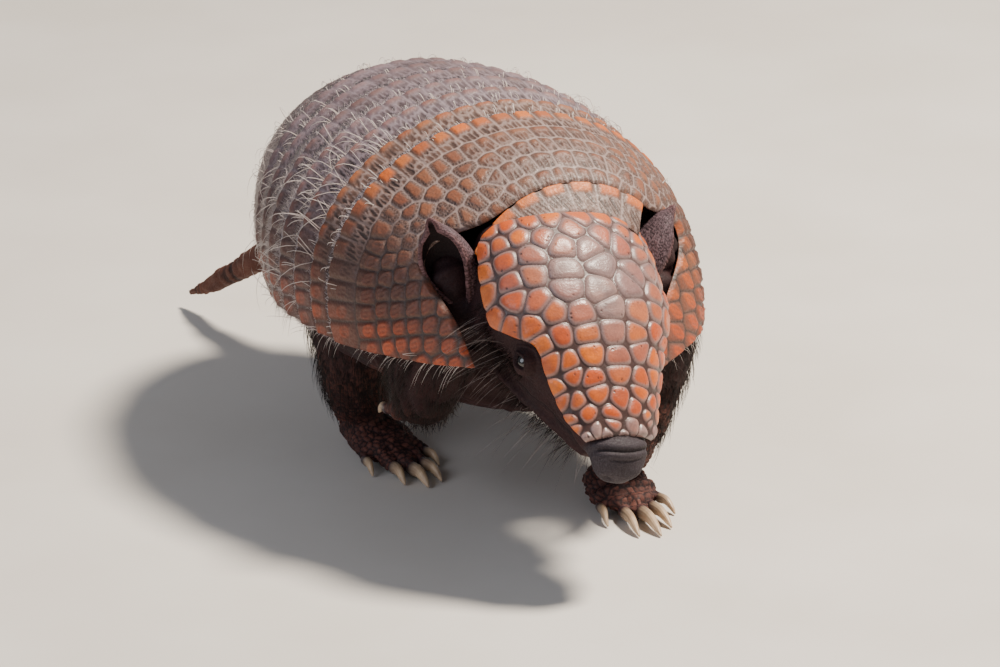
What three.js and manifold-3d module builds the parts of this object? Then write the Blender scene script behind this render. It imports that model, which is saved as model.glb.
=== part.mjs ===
// A six-banded armadillo, life size, walking: left forefoot and both hind feet down, right forefoot lifted,
// muzzle lowered, tail low and swung to the right. Millimetres, +Z up; it faces -Y and its left is +X.
// The armour is a dome over the trunk: a shoulder shield, six hinged bands and a pelvic shield.
import * as THREE from "three";
import { mergeVertices } from "three/addons/utils/BufferGeometryUtils.js";
import Module from "manifold-3d";

const wasm = await Module();
wasm.setup();
const V = (x, y, z) => new THREE.Vector3(x, y, z);
const rad = THREE.MathUtils.degToRad;

// ---- driving dimensions ----
const GAP = 0.4; // between neighbouring solids
const SHELL = 4; // thickness of the body armour
const HEAD_SHELL = 3; // thickness of the head shield
const HEAD_SHELL_LIFT = 1.8; // and how far it stands off the flesh
const BANDS = 6;
const SHOULDER_END = 0.32; // where the shoulder shield ends, as a share of the back
const PELVIC_START = 0.68; // where the pelvic shield starts
const NAPE = [-0.038, 0.016]; // the loose band before the shoulder shield
const NAPE_DIP = 6; // how far its front edge sinks towards the head, most on the left
const SHOULDER_START = 0.022; // where the shoulder shield starts on the midline
const NAPE_ENDS = [rad(-57), rad(40)]; // the neck is bent to the left
const ARMOUR_HALF = rad(104); // the dome reaches this far round from the midline
const TRUNK_FRONT = 0.17; // where the trunk ends and the neck begins
const SWEEP = 14; // how far forward the armour's lower edge is swept
const CURL = 28; // how far the shoulder's left front edge curls in towards the bent neck
const DROOP = 14; // how far that edge hangs lower than the right one
const CURL_END = 0.16; // and the share of the back where both begin
const ROLL = rad(3); // the shoulders lean over the planted left forefoot
const ROLL_HEIGHT = 100;
const EYE_RADIUS = 5;
const CLAW_GAP = 1.2; // between a claw and its toe

// The back from neck to tail: share, y, centre height, lean back in degrees, half width, rise, belly depth.
const BACK = [
  [-0.08, -126, 108, 17, 50, 53, 40],
  [0.0, -108, 108, 14, 58, 60, 44],
  [0.12, -80, 106, 9, 74, 71, 48],
  [0.32, -28, 102, 1, 91, 78, 55],
  [0.5, 18, 101, 4, 94, 81, 59],
  [0.66, 56, 99, 16, 87, 78, 56],
  [0.8, 88, 95, 34, 72, 69, 49],
  [0.92, 114, 90, 56, 48, 48, 36],
  [1.0, 132, 82, 76, 18, 20, 14],
];

// The head in its own frame: u runs down the face from the nape, then half width, top and underside.
const HEAD_ORIGIN = V(-1.5, -99.8, 156.2);
const HEAD_PITCH = rad(45);
const HEAD_ROLL = rad(9.6); // the left side of the head is held lower
const HEAD_TURN = rad(4.5); // and the muzzle swings to the left
const HEAD = [
  [-6, 28, -15, -38],
  [-1, 35, -3, -45],
  [10, 40, 4.5, -50],
  [25, 41.5, 7.5, -52],
  [45, 41.5, 8, -50],
  [60, 36.5, 6, -42],
  [75, 29.5, 2, -35],
  [95, 21.5, -4, -27],
  [110, 16.5, -8, -23],
];
// The lower jaw, in the same frame.
const JAW = [
  [38, 26, -50, -55],
  [50, 28, -48, -57],
  [64, 26, -42, -53],
  [80, 21, -34, -46],
  [98, 14, -27, -38],
  [108, 9, -25, -33],
];
// How far round the head its shield reaches: u, half angle in degrees.
const HEAD_SHIELD = [
  [2, 58],
  [9, 78],
  [48, 90],
  [57, 80],
  [66, 65],
  [80, 74],
  [98, 82],
  [110, 66],
];

// ---- curves through stations ----
// A smooth monotone curve through one column of a table, read at x in column 0.
function along(table, column, x) {
  const xs = table.map((r) => r[0]);
  const ys = table.map((r) => r[column]);
  const last = xs.length - 1;
  const at = Math.min(Math.max(x, xs[0]), xs[last]);
  const slopes = xs.slice(1).map((v, i) => (ys[i + 1] - ys[i]) / (v - xs[i]));
  const tangent = (i) => {
    if (i === 0) return slopes[0];
    if (i === last) return slopes[last - 1];
    const [a, b] = [slopes[i - 1], slopes[i]];
    return a * b > 0 ? (2 * a * b) / (a + b) : 0;
  };
  let i = 0;
  while (i < last - 1 && at > xs[i + 1]) i++;
  const h = xs[i + 1] - xs[i];
  const t = (at - xs[i]) / h;
  return (
    (2 * t ** 3 - 3 * t ** 2 + 1) * ys[i] +
    (t ** 3 - 2 * t ** 2 + t) * h * tangent(i) +
    (3 * t ** 2 - 2 * t ** 3) * ys[i + 1] +
    (t ** 3 - t ** 2) * h * tangent(i + 1)
  );
}

const steps = (n, from, to) => Array.from({ length: n + 1 }, (_, i) => from + ((to - from) * i) / n);

const round = (n) => steps(n, 0, 2 * Math.PI).slice(0, n);

// ---- solids ----
// The two triangles of each cell between neighbouring rows of a grid of points.
function gridFaces(start, rows, columns, closed, turned) {
  const faces = [];
  for (let r = 0; r + 1 < rows; r++)
    for (let i = 0; i < columns - (closed ? 0 : 1); i++) {
      const [a, b] = [start + r * columns + i, start + r * columns + ((i + 1) % columns)];
      const cell = [a, b, b + columns, a, b + columns, a + columns];
      faces.push(...(turned ? cell.reverse() : cell));
    }
  return faces;
}

// A closed body through rings of points, with a fan over each end.
function loft(rings) {
  const n = rings[0].length;
  const points = rings.flat();
  const faces = gridFaces(0, rings.length, n, true, false);
  const cap = (ring, start, turned) => {
    const centre = ring.reduce((sum, p) => sum.add(p), V(0, 0, 0)).divideScalar(n);
    points.push(centre);
    for (let i = 0; i < n; i++) {
      const [a, b] = [start + i, start + ((i + 1) % n)];
      faces.push(...(turned ? [a, b, points.length - 1] : [b, a, points.length - 1]));
    }
  };
  cap(rings[0], 0, false);
  cap(rings.at(-1), (rings.length - 1) * n, true);
  return solid(new THREE.BufferGeometry().setFromPoints(points).setIndex(faces));
}

// A plate of even thickness over a patch of surface: at(u, v, depth) gives its points.
function plate(us, vs, thickness, at) {
  const [rows, columns] = [us.length, vs.length];
  const under = rows * columns;
  const points = [0, thickness].flatMap((depth) => us.flatMap((u) => vs.map((v) => at(u, v, depth))));
  const faces = [
    ...gridFaces(0, rows, columns, false, false),
    ...gridFaces(under, rows, columns, false, true),
  ];
  const edge = [
    ...steps(columns - 1, 0, columns - 1),
    ...steps(rows - 1, 0, rows - 1).slice(1).map((r) => r * columns + columns - 1),
    ...steps(columns - 1, columns - 1, 0).slice(1).map((c) => (rows - 1) * columns + c),
    ...steps(rows - 1, rows - 1, 0).slice(1, -1).map((r) => r * columns),
  ];
  edge.forEach((a, i) => {
    const b = edge[(i + 1) % edge.length];
    faces.push(a, under + a, under + b, a, under + b, b);
  });
  return solid(new THREE.BufferGeometry().setFromPoints(points).setIndex(faces));
}

// A three.js geometry as a solid of the boolean library, facing out.
function solid(geometry) {
  const bare = new THREE.BufferGeometry().setAttribute("position", geometry.getAttribute("position"));
  if (geometry.index) bare.setIndex(geometry.index);
  const merged = mergeVertices(bare, 1e-3);
  const make = (tris) =>
    new wasm.Manifold(
      new wasm.Mesh({ numProp: 3, vertProperties: merged.attributes.position.array, triVerts: tris }),
    );
  const tris = new Uint32Array(merged.index.array);
  const made = make(tris);
  if (made.volume() > 0) return made;
  for (let i = 0; i < tris.length; i += 3) [tris[i + 1], tris[i + 2]] = [tris[i + 2], tris[i + 1]];
  return make(tris);
}

const part = new THREE.Group();
// Adds a solid to the part as a named mesh. Of several bodies left by a cut, the largest is kept.
function place(name, body, colour, roughness) {
  const whole = body.decompose().sort((a, b) => b.volume() - a.volume())[0];
  const { vertProperties, triVerts } = whole.getMesh();
  const geometry = new THREE.BufferGeometry()
    .setAttribute("position", new THREE.BufferAttribute(vertProperties, 3))
    .setIndex(new THREE.BufferAttribute(triVerts, 1));
  const mesh = new THREE.Mesh(
    geometry,
    new THREE.MeshStandardMaterial({ color: colour, roughness, metalness: 0 }),
  );
  mesh.name = name;
  part.add(mesh);
}

// ---- the dome of the back ----
// A point of the back at share s and angle a from the midline, sunk by depth.
function backPoint(s, a, depth) {
  const [y, zc, lean, width, rise] = [1, 2, 3, 4, 5].map((c) => along(BACK, c, s));
  const tilt = rad(lean);
  const swept = SWEEP * Math.max(0, (Math.abs(a) - rad(45)) / rad(60)) ** 2 * (1 - s);
  const fade = Math.max(0, 1 - Math.max(s, 0) / CURL_END) ** 2;
  const curl = CURL * fade * THREE.MathUtils.smoothstep(a, rad(35), rad(72));
  const droop = DROOP * fade * THREE.MathUtils.smoothstep(a, rad(55), rad(104));
  const [w, h] = [width - depth - curl, rise - depth];
  const p = V(
    w * Math.sin(a),
    y - swept + h * Math.cos(a) * Math.sin(tilt),
    zc + h * Math.cos(a) * Math.cos(tilt) - droop,
  );
  return rolled(p, s);
}

function rolled(p, s) {
  const angle = ROLL * (1 - s);
  const z = p.z - ROLL_HEIGHT;
  return V(
    p.x * Math.cos(angle) + z * Math.sin(angle),
    p.y,
    ROLL_HEIGHT - p.x * Math.sin(angle) + z * Math.cos(angle),
  );
}

// The flesh under the armour: the dome above, and the belly below it.
function trunkRing(s, inset) {
  const [y, zc, lean, width, rise, belly] = [1, 2, 3, 4, 5, 6].map((c) => along(BACK, c, s));
  const tilt = rad(lean);
  return round(20).map((a) => {
    const up = Math.cos(a);
    const h = up > 0 ? rise - inset : belly;
    const side = Math.min(a, 2 * Math.PI - a, ARMOUR_HALF);
    const swept = SWEEP * Math.max(0, (side - rad(45)) / rad(60)) ** 2 * (1 - s);
    const x = (width - inset) * Math.sin(a);
    return rolled(V(x, y - swept + h * up * Math.sin(tilt), zc + h * up * Math.cos(tilt)), s);
  });
}

const trunkAt = (inset, start, end) => loft(steps(11, start, end).map((s) => trunkRing(s, inset)));
const trunkRoom = trunkAt(SHELL + 0.8, TRUNK_FRONT - 0.003, 0.982);
const trunk = trunkAt(SHELL + 0.8 + GAP, TRUNK_FRONT, 0.98);

// The shoulder shield's front edge is notched behind each ear.
const shoulderFront = (a) =>
  SHOULDER_START + 0.09 * Math.exp(-(((Math.abs(a) - rad(65)) / rad(16)) ** 2));

function armour(from, to, lengths, lift) {
  const angles = steps(18, -ARMOUR_HALF, ARMOUR_HALF);
  return plate(steps(lengths, 0, 1), angles, SHELL, (t, a, depth) => {
    const start = from === 0 ? shoulderFront(a) : from;
    return backPoint(start + (to - start) * t, a, depth - lift * t ** 2);
  });
}

// The room the armour takes up, with the clearance all round.
const roomAngle = ARMOUR_HALF + 0.02;
const shieldRoom = plate(steps(9, 0, 1), steps(18, -roomAngle, roomAngle), SHELL + 3, (t, a, depth) =>
  backPoint(shoulderFront(a) + (1 - shoulderFront(a)) * t - 0.004 * (1 - t), a, depth - 2.4),
);

const GREY_BROWN = 0x6b5a52;
const shoulder = armour(0, SHOULDER_END - 0.004, 5, 1.2);
const bandLength = (PELVIC_START - SHOULDER_END) / BANDS;
for (let i = 0; i < BANDS; i++) {
  const start = SHOULDER_END + i * bandLength;
  place(`band_${i + 1}`, armour(start, start + bandLength - 0.004, 1, 1.2), GREY_BROWN, 0.7);
}
const pelvic = armour(PELVIC_START, 0.99, 7, 0);
place("pelvic_shield", pelvic, GREY_BROWN, 0.75);

// ---- the head ----
const headFrame = new THREE.Matrix4()
  .makeTranslation(HEAD_ORIGIN)
  .multiply(new THREE.Matrix4().makeRotationZ(HEAD_TURN))
  .multiply(new THREE.Matrix4().makeRotationY(HEAD_ROLL))
  .multiply(new THREE.Matrix4().makeRotationX(HEAD_PITCH - Math.PI / 2));
// u down the face, v to the left, w out of the face.
const headPoint = (u, v, w) => V(v, -w, -u).applyMatrix4(headFrame);

// A point of the head's skin at angle a from the top, swollen by extra.
function headSkin(table, u, a, extra) {
  const [width, top, under] = [1, 2, 3].map((c) => along(table, c, u));
  const middle = top - (top - under) * 0.45;
  const up = Math.cos(a);
  const reach = (up > 0 ? top - middle : middle - under) + extra;
  return headPoint(u, (width + extra) * Math.sin(a), middle + reach * Math.sign(up) * Math.abs(up) ** 0.9);
}

const headLoft = (table, n, sides, extra) =>
  loft(
    steps(n, table[0][0] - extra, table.at(-1)[0] + extra).map((u) =>
      round(sides).map((a) => headSkin(table, u, a, extra)),
    ),
  );
const skull = headLoft(HEAD, 11, 16, 0);
const skullRoom = headLoft(HEAD, 11, 16, GAP);
const jaw = headLoft(JAW, 5, 10, 0).subtract(skullRoom);
const jawRoom = headLoft(JAW, 5, 10, GAP);

const headShieldAt = (grow) =>
  plate(steps(10, 2 - grow, 110 + grow), steps(12, -1, 1), HEAD_SHELL + 2 * grow, (u, v, depth) => {
    const half = rad(along(HEAD_SHIELD, 1, u) + 2 * grow);
    return headSkin(HEAD, u, v * half, HEAD_SHELL_LIFT + HEAD_SHELL + grow - depth);
  });
const headShieldRoom = headShieldAt(0.3);
place("head_shield", headShieldAt(0), 0x9c6a4c, 0.6);

// The bare grey nose pad caps the muzzle.
const NOSE = [
  // u, half width, top, underside
  [110.6, 14.5, -7, -23],
  [114, 14.5, -6, -25],
  [119, 14, -7, -26],
  [123, 12, -10, -25],
  [126, 7, -13, -22],
];
place("nose", headLoft(NOSE, 5, 14, 0), 0x5d5860, 0.5);

// ---- the neck ----
// It turns from the lean of the shoulders to the pitch of the head.
const NECK = [
  // share, x, y, z, lean, half width, rise, depth
  [0, 0, -56, 106, 6, 54, 50, 48],
  [0.3, 1, -82, 108, -2, 48, 49, 44],
  [0.6, 1, -94, 112, -14, 42, 43, 40],
  [0.85, 0, -98, 114, -24, 35, 33, 32],
  [1, 0, -99, 114, -28, 28, 27, 26],
];
function neckPoint(s, a, extra) {
  const [x, y, z, lean, width, rise, depth] = [1, 2, 3, 4, 5, 6, 7].map((c) => along(NECK, c, s));
  const tilt = rad(lean);
  const up = Math.cos(a);
  const h = (up > 0 ? rise : depth) + extra;
  return V(x + (width + extra) * Math.sin(a), y + h * up * Math.sin(tilt), z + h * up * Math.cos(tilt));
}
const neckAt = (extra) =>
  loft(steps(4, 0, 1).map((s) => round(12).map((a) => neckPoint(s, a, extra))));
const neck = neckAt(0).subtract(headShieldRoom).subtract(skullRoom).subtract(jawRoom).subtract(trunkRoom);
const neckRoom = neckAt(GAP);

// One row of plates hinged on the nape, between the head shield and the shoulder shield.
const nape = plate(steps(3, 0, 1), steps(10, ...NAPE_ENDS), 2.6, (t, a, depth) => {
  const dip = NAPE_DIP * (1 - t) * THREE.MathUtils.smoothstep(a, rad(-60), rad(30));
  return backPoint(NAPE[0] + (NAPE[1] - NAPE[0]) * t, a, depth + 0.6 + dip);
});
place("nape_band", nape.subtract(headShieldRoom).subtract(skullRoom), 0x8a6350, 0.65);

// ---- limbs, tail and claws ----
// A tapering limb through points, each [x, y, z, half width across, half depth].
function limb(points, n, sides, extra = 0) {
  const curve = new THREE.CatmullRomCurve3(points.map(([x, y, z]) => V(x, y, z)));
  const table = (c) => points.map((p, i) => [i / (points.length - 1), p[c]]);
  const rings = steps(n, 0, 1).map((t) => {
    const [centre, way] = [curve.getPoint(t), curve.getTangent(t)];
    const across = V(1, 0, 0).addScaledVector(way, -way.x).normalize();
    const deep = way.clone().cross(across);
    const [p, q] = [along(table(3), 1, t) + extra, along(table(4), 1, t) + extra];
    return round(sides).map((a) =>
      centre.clone().addScaledVector(across, p * Math.cos(a)).addScaledVector(deep, q * Math.sin(a)),
    );
  });
  return loft(rings);
}

const FLOOR = solid(new THREE.BoxGeometry(1000, 1000, 100).translate(0, 0, -50));

// Each leg's own points, its foot's place, heading in degrees from straight ahead, and lift.
const LEGS = {
  front_left: {
    points: [[50, -70, 100, 22, 24], [57, -72, 76, 18, 20], [51, -74, 46, 13, 15], [40, -74, 20, 12, 11]],
    foot: { at: [37, -70, 0], heading: -3, pitch: 0, length: 31, width: 16, height: 17, heel: 13, claw: 21 },
  },
  front_right: {
    points: [[-50, -72, 100, 22, 24], [-57, -68, 78, 18, 20], [-54, -58, 63, 14, 15], [-51, -50, 55, 12, 12]],
    foot: {
      at: [-51, -49, 46],
      heading: 164,
      pitch: 14,
      length: 25,
      width: 15,
      height: 15,
      heel: 10,
      claw: 18,
    },
  },
  hind_left: {
    points: [[46, 66, 92, 25, 28], [54, 84, 66, 21, 22], [45, 116, 40, 13, 14], [37, 141, 24, 11, 11]],
    foot: { at: [34, 142, 7], heading: -5, pitch: 12, length: 38, width: 15, height: 17, heel: 15, claw: 14 },
  },
  hind_right: {
    points: [[-42, 58, 92, 24, 28], [-48, 38, 70, 20, 25], [-49, 33, 44, 16, 17], [-43, 36, 20, 14, 13]],
    foot: { at: [-39, 34, 0], heading: 4, pitch: 0, length: 42, width: 16, height: 18, heel: 18, claw: 15 },
  },
};
// Toes across a foot: place across, reach forward, thickness, claw length, as shares of the middle toe's.
const TOES = [
  [-0.92, 0.62, 0.72, 0.62],
  [-0.42, 0.93, 0.9, 0.95],
  [0.06, 1.0, 1.0, 1.0],
  [0.5, 0.86, 0.9, 0.85],
  [0.97, 0.55, 0.72, 0.6],
];

// Carries foot points, forward along +y before the turn, to where the foot stands.
function footFrame({ at, heading, pitch }) {
  const turn = new THREE.Matrix4()
    .makeRotationZ(rad(180 + heading))
    .multiply(new THREE.Matrix4().makeRotationX(rad(-pitch)));
  return turn.setPosition(V(...at));
}

function footSolid(foot, mirror, extra) {
  const { length, width, height, heel } = foot;
  const frame = footFrame(foot);
  const carry = ([x, y, z, p, q]) => {
    const c = V(x * mirror, y, z).applyMatrix4(frame);
    return [c.x, c.y, c.z, p, q];
  };
  const body = [
    [0, -heel, height * 0.42, width * 0.55, height * 0.4],
    [0, -heel * 0.3, height * 0.5, width * 0.8, height * 0.56],
    [0, length * 0.22, height * 0.44, width * 1.0, height * 0.5],
    [0, length * 0.52, height * 0.34, width * 0.92, height * 0.36],
  ];
  let made = limb(body.map(carry), 5, 8, extra);
  for (const [side, reach, thick] of TOES) {
    const r = 4.6 * thick;
    const toe = [
      [side * width * 0.6, length * 0.25 * reach, height * 0.4, r * 1.1, r * 1.1],
      [side * width * 0.84, length * 0.62 * reach, height * 0.38, r * 1.05, r],
      [side * width * 1.0, length * reach, height * 0.26, r * 0.75, r * 0.8],
    ];
    made = made.add(limb(toe.map(carry), 2, 5, extra));
  }
  return made;
}

function clawSolid(foot, mirror, [side, reach, thick, share]) {
  const { length, width, height, claw } = foot;
  const frame = footFrame(foot);
  const r = 3.9 * thick;
  const l = claw * share;
  const [x, y] = [side * width, length * reach + CLAW_GAP];
  const outline = [
    [x, y, height * 0.26, r * 0.72, r * 0.86],
    [x + side * l * 0.08, y + l * 0.4, height * 0.3, r * 0.62, r * 0.78],
    [x + side * l * 0.16, y + l * 0.78, height * 0.16, r * 0.4, r * 0.5],
    [x + side * l * 0.18, y + l, 1.0, 0.4, 0.5],
  ].map(([px, py, pz, p, q]) => {
    const c = V(px * mirror, py, pz).applyMatrix4(frame);
    return [c.x, c.y, c.z, p, q];
  });
  return limb(outline, 4, 5);
}

const FLESH = 0x3a2f33;
const HORN = 0xb49a78;
for (const [name, { points, foot }] of Object.entries(LEGS)) {
  const mirror = name.endsWith("left") ? -1 : 1;
  const rooms = [trunkRoom, neckRoom, jawRoom, shieldRoom, FLOOR];
  const leg = rooms.reduce((body, room) => body.subtract(room), limb(points, 6, 10));
  const paw = footSolid(foot, mirror, 0)
    .subtract(limb(points, 6, 10, GAP))
    .subtract(trunkRoom)
    .subtract(FLOOR);
  place(`leg_${name}`, leg, FLESH, 0.85);
  place(`foot_${name}`, paw, FLESH, 0.8);
  TOES.forEach((toe, i) => {
    place(`claw_${name}_${i + 1}`, clawSolid(foot, mirror, toe).subtract(FLOOR), HORN, 0.4);
  });
}

const TAIL = [
  [0, 127, 83, 14, 14],
  [-4, 146, 75, 12.5, 12],
  [-16, 172, 58, 9.5, 9],
  [-29, 200, 37, 6.5, 6.5],
  [-38, 228, 18, 4, 4],
  [-43, 246, 8, 1.8, 1.8],
];
const tail = limb(TAIL, 9, 9).subtract(trunkRoom).subtract(shieldRoom);
place("tail", tail, 0x6a4a3c, 0.8);

place("trunk", trunk.subtract(skullRoom).subtract(jawRoom), FLESH, 0.85);

// ---- eyes and ears ----
const EYE = { u: 67, v: 33, w: -16 };
const EAR_WALL = 1.6;
const EARS = {
  left: { root: [21, 41, -34], way: [26, 2, 30], open: [1, 0.15, 0], length: 46, width: 11.5 },
  right: { root: [20, -40, -40], way: [-16, 3, 37], open: [-0.75, -0.65, 0], length: 41, width: 12 },
};
let headSolid = skull;
for (const [name, side] of [["left", 1], ["right", -1]]) {
  const centre = headPoint(EYE.u, EYE.v * side, EYE.w);
  const ball = (r) => solid(new THREE.SphereGeometry(r, 10, 8).translate(centre.x, centre.y, centre.z));
  place(`eye_${name}`, ball(EYE_RADIUS), 0x120c0a, 0.1);
  headSolid = headSolid.subtract(ball(EYE_RADIUS + GAP));
}

// An ear is a funnel, open outward and forward, whose rim runs up to a blunt tip.
function earSolid({ root, way, open: facing, length, width }) {
  const foot = headPoint(...root);
  const axis = V(...way).normalize();
  const open = V(...facing);
  open.addScaledVector(axis, -open.dot(axis)).normalize();
  const across = axis.clone().cross(open);
  return plate(steps(5, 0, 0.96), steps(9, -1, 1), EAR_WALL, (t, v, depth) => {
    const swell = 0.42 + 0.58 * Math.sin(Math.PI * Math.min(1, t * 0.95 + 0.1)) ** 0.8;
    const r = width * swell * (1 - 0.35 * t ** 3) + EAR_WALL - depth;
    const a = v * rad(150 - 62 * t);
    return foot
      .clone()
      .addScaledVector(axis, length * t * (1 - 0.18 * (v * t) ** 2))
      .addScaledVector(open, -r * Math.cos(a) * 0.72)
      .addScaledVector(across, r * Math.sin(a));
  });
}
for (const [name, ear] of Object.entries(EARS)) {
  const rooms = [skullRoom, headShieldRoom, neckRoom, shieldRoom, trunkRoom];
  place(`ear_${name}`, rooms.reduce((body, room) => body.subtract(room), earSolid(ear)), 0x4e4046, 0.8);
}
place("head", headSolid, FLESH, 0.8);
place("shoulder_shield", shoulder.subtract(headShieldRoom).subtract(skullRoom), GREY_BROWN, 0.7);
place("lower_jaw", jaw.subtract(neckRoom).subtract(trunkRoom), FLESH, 0.85);
place("neck", neck, FLESH, 0.85);

// The origin is on the floor, under the middle of the whole animal.
const box = new THREE.Box3().setFromObject(part);
part.position.set(-(box.min.x + box.max.x) / 2, -(box.min.y + box.max.y) / 2, -box.min.z);

export default part;
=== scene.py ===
"""A life-size six-banded armadillo: plates, skin, eyes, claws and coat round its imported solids.

Lengths are millimetres in the animal's own frame, which faces -Y with its left at +X, until to_frame() turns
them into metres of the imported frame.
"""

import math

import bmesh
import bpy
import numpy as np
from mathutils import Matrix, Vector


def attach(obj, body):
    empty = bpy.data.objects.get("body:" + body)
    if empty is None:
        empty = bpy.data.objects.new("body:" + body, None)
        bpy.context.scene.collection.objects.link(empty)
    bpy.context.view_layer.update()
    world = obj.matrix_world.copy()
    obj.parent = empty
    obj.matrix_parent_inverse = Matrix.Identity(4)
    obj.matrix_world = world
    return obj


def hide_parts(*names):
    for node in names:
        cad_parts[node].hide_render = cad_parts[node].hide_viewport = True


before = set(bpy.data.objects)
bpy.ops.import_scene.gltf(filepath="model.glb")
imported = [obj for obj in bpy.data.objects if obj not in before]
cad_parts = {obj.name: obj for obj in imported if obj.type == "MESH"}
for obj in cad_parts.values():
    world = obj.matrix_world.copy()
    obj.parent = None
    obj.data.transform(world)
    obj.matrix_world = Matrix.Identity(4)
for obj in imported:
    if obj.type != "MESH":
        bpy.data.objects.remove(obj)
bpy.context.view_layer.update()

bl_info = {
    "name": "Six-banded Armadillo",
    "version": (1, 0, 0),
    "blender": (4, 5, 0),
    "location": "3D View > Sidebar > Armadillo",
    "description": "Builds the plates, skin, claws, eyes and coat of a life-size six-banded armadillo",
    "category": "Add Mesh",
}

# ---- the animal's measures, the same as its solids have ----
MM = 0.001
FRAME_SHIFT = np.array((0.0651, -33.0913, 0.0))  # from the animal's own origin to the frame's
SHELL = 4.0
BANDS = 6
SHOULDER_END = 0.32
PELVIC_START = 0.68
NAPE_SPAN = (-0.038, 0.016)
NAPE_DIP = 6.0
SHOULDER_START = 0.022
NAPE_ENDS = (math.radians(-57), math.radians(40))
ARMOUR_HALF = math.radians(104)
SWEEP = 14.0  # how far forward the armour's low edges reach
CURL = 28.0  # how far the shoulder's left front edge curls in towards the bent neck
CURL_END = 0.16
DROOP = 14.0  # and how much lower that edge hangs
ROLL = math.radians(3)
ROLL_HEIGHT = 100.0
HEAD_SHIELD_SPAN = (2.0, 110.0)
HEAD_SHELL_OUTER = 4.8  # from the flesh to the outside of the head shield

# The back from neck to tail: share, y, centre height, lean back, half width, rise, belly depth.
BACK = np.array([
    (-0.08, -126, 108, 17, 50, 53, 40),
    (0.0, -108, 108, 14, 58, 60, 44),
    (0.12, -80, 106, 9, 74, 71, 48),
    (0.32, -28, 102, 1, 91, 78, 55),
    (0.5, 18, 101, 4, 94, 81, 59),
    (0.66, 56, 99, 16, 87, 78, 56),
    (0.8, 88, 95, 34, 72, 69, 49),
    (0.92, 114, 90, 56, 48, 48, 36),
    (1.0, 132, 82, 76, 18, 20, 14),
], float)

# The head in its own frame: u down the face from the nape, half width, top, underside.
HEAD_ORIGIN = Vector((-1.5, -99.8, 156.2))
HEAD_PITCH = math.radians(45)
HEAD_ROLL = math.radians(9.6)
HEAD_TURN = math.radians(4.5)
HEAD = np.array([
    (-6, 28, -15, -38),
    (-1, 35, -3, -45),
    (10, 40, 4.5, -50),
    (25, 41.5, 7.5, -52),
    (45, 41.5, 8, -50),
    (60, 36.5, 6, -42),
    (75, 29.5, 2, -35),
    (95, 21.5, -4, -27),
    (110, 16.5, -8, -23),
], float)
JAW = np.array([
    (38, 26, -50, -55),
    (50, 28, -48, -57),
    (64, 26, -42, -53),
    (80, 21, -34, -46),
    (98, 14, -27, -38),
    (108, 9, -25, -33),
], float)
NOSE = np.array([
    (105, 15.4, -5.4, -23),
    (110.6, 14, -4.8, -23),
    (114, 13.8, -4.6, -24.6),
    (118, 13.2, -5.8, -25.4),
    (121, 12, -7.8, -25),
    (123.6, 9.8, -10.2, -23.8),
    (125.4, 7, -12.6, -22),
    (126, 4.4, -14.6, -20.4),
], float)
# How far round the head its shield reaches: u, half angle in degrees.
HEAD_SHIELD = np.array([(2, 58), (9, 78), (48, 90), (57, 80), (66, 65), (80, 74), (98, 82), (110, 66)],
                       float)
# The neck: share, x, y, z, lean, half width, rise, depth.
NECK = np.array([
    (0, 0, -56, 106, 6, 54, 50, 48),
    (0.3, 1, -82, 108, -2, 48, 49, 44),
    (0.6, 1, -94, 112, -14, 42, 43, 40),
    (0.85, 0, -98, 114, -24, 35, 33, 32),
    (1, 0, -99, 114, -28, 28, 27, 26),
], float)
EYE = {"u": 67, "v": 33, "w": -16, "radius": 5.0}
EAR_WALL = 1.6
EARS = {
    "left": {"root": (21, 41, -34), "way": (26, 2, 30), "open": (1, 0.15, 0), "length": 46, "width": 11.5},
    "right": {"root": (20, -40, -40), "way": (-16, 3, 37), "open": (-0.75, -0.65, 0), "length": 41,
              "width": 12},
}
# Each leg's stations [x, y, z, half across, half deep] and its foot.
LEGS = {
    "front_left": {
        "points": [(50, -70, 100, 22, 24), (57, -72, 76, 18, 20),
                   (51, -74, 46, 13, 15), (40, -74, 20, 12, 11)],
        "foot": {"at": (37, -70, 0), "heading": -3, "pitch": 0, "length": 31, "width": 16, "height": 17,
                 "heel": 13, "claw": 21},
    },
    "front_right": {
        "points": [(-50, -72, 100, 22, 24), (-57, -68, 78, 18, 20),
                   (-54, -58, 63, 14, 15), (-51, -50, 55, 12, 12)],
        "foot": {"at": (-51, -49, 46), "heading": 164, "pitch": 14, "length": 25, "width": 15, "height": 15,
                 "heel": 10, "claw": 18},
    },
    "hind_left": {
        "points": [(46, 66, 92, 25, 28), (54, 84, 66, 21, 22),
                   (45, 116, 40, 13, 14), (37, 141, 24, 11, 11)],
        "foot": {"at": (34, 142, 7), "heading": -5, "pitch": 12, "length": 38, "width": 15, "height": 17,
                 "heel": 15, "claw": 14},
    },
    "hind_right": {
        "points": [(-42, 58, 92, 24, 28), (-48, 38, 70, 20, 25),
                   (-49, 33, 44, 16, 17), (-43, 36, 20, 14, 13)],
        "foot": {"at": (-39, 34, 0), "heading": 4, "pitch": 0, "length": 42, "width": 16, "height": 18,
                 "heel": 18, "claw": 15},
    },
}
# Toes across a foot: place across, reach forward, thickness, claw length, as shares of the middle toe's.
TOES = ((-0.92, 0.62, 0.72, 0.62), (-0.42, 0.93, 0.9, 0.95), (0.06, 1, 1, 1), (0.5, 0.86, 0.9, 0.85),
        (0.97, 0.55, 0.72, 0.6))
CLAW_GAP = 1.2
TAIL = [(0, 127, 83, 14, 14), (-4, 146, 75, 12.5, 12), (-16, 172, 58, 9.5, 9), (-29, 200, 37, 6.5, 6.5),
        (-38, 228, 18, 4, 4), (-43, 246, 8, 1.8, 1.8)]


# ---- curves and surfaces ----
def to_frame(points):
    """Points of the animal's own frame, in millimetres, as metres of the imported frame."""
    return (np.asarray(points, float) + FRAME_SHIFT) * MM


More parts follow.
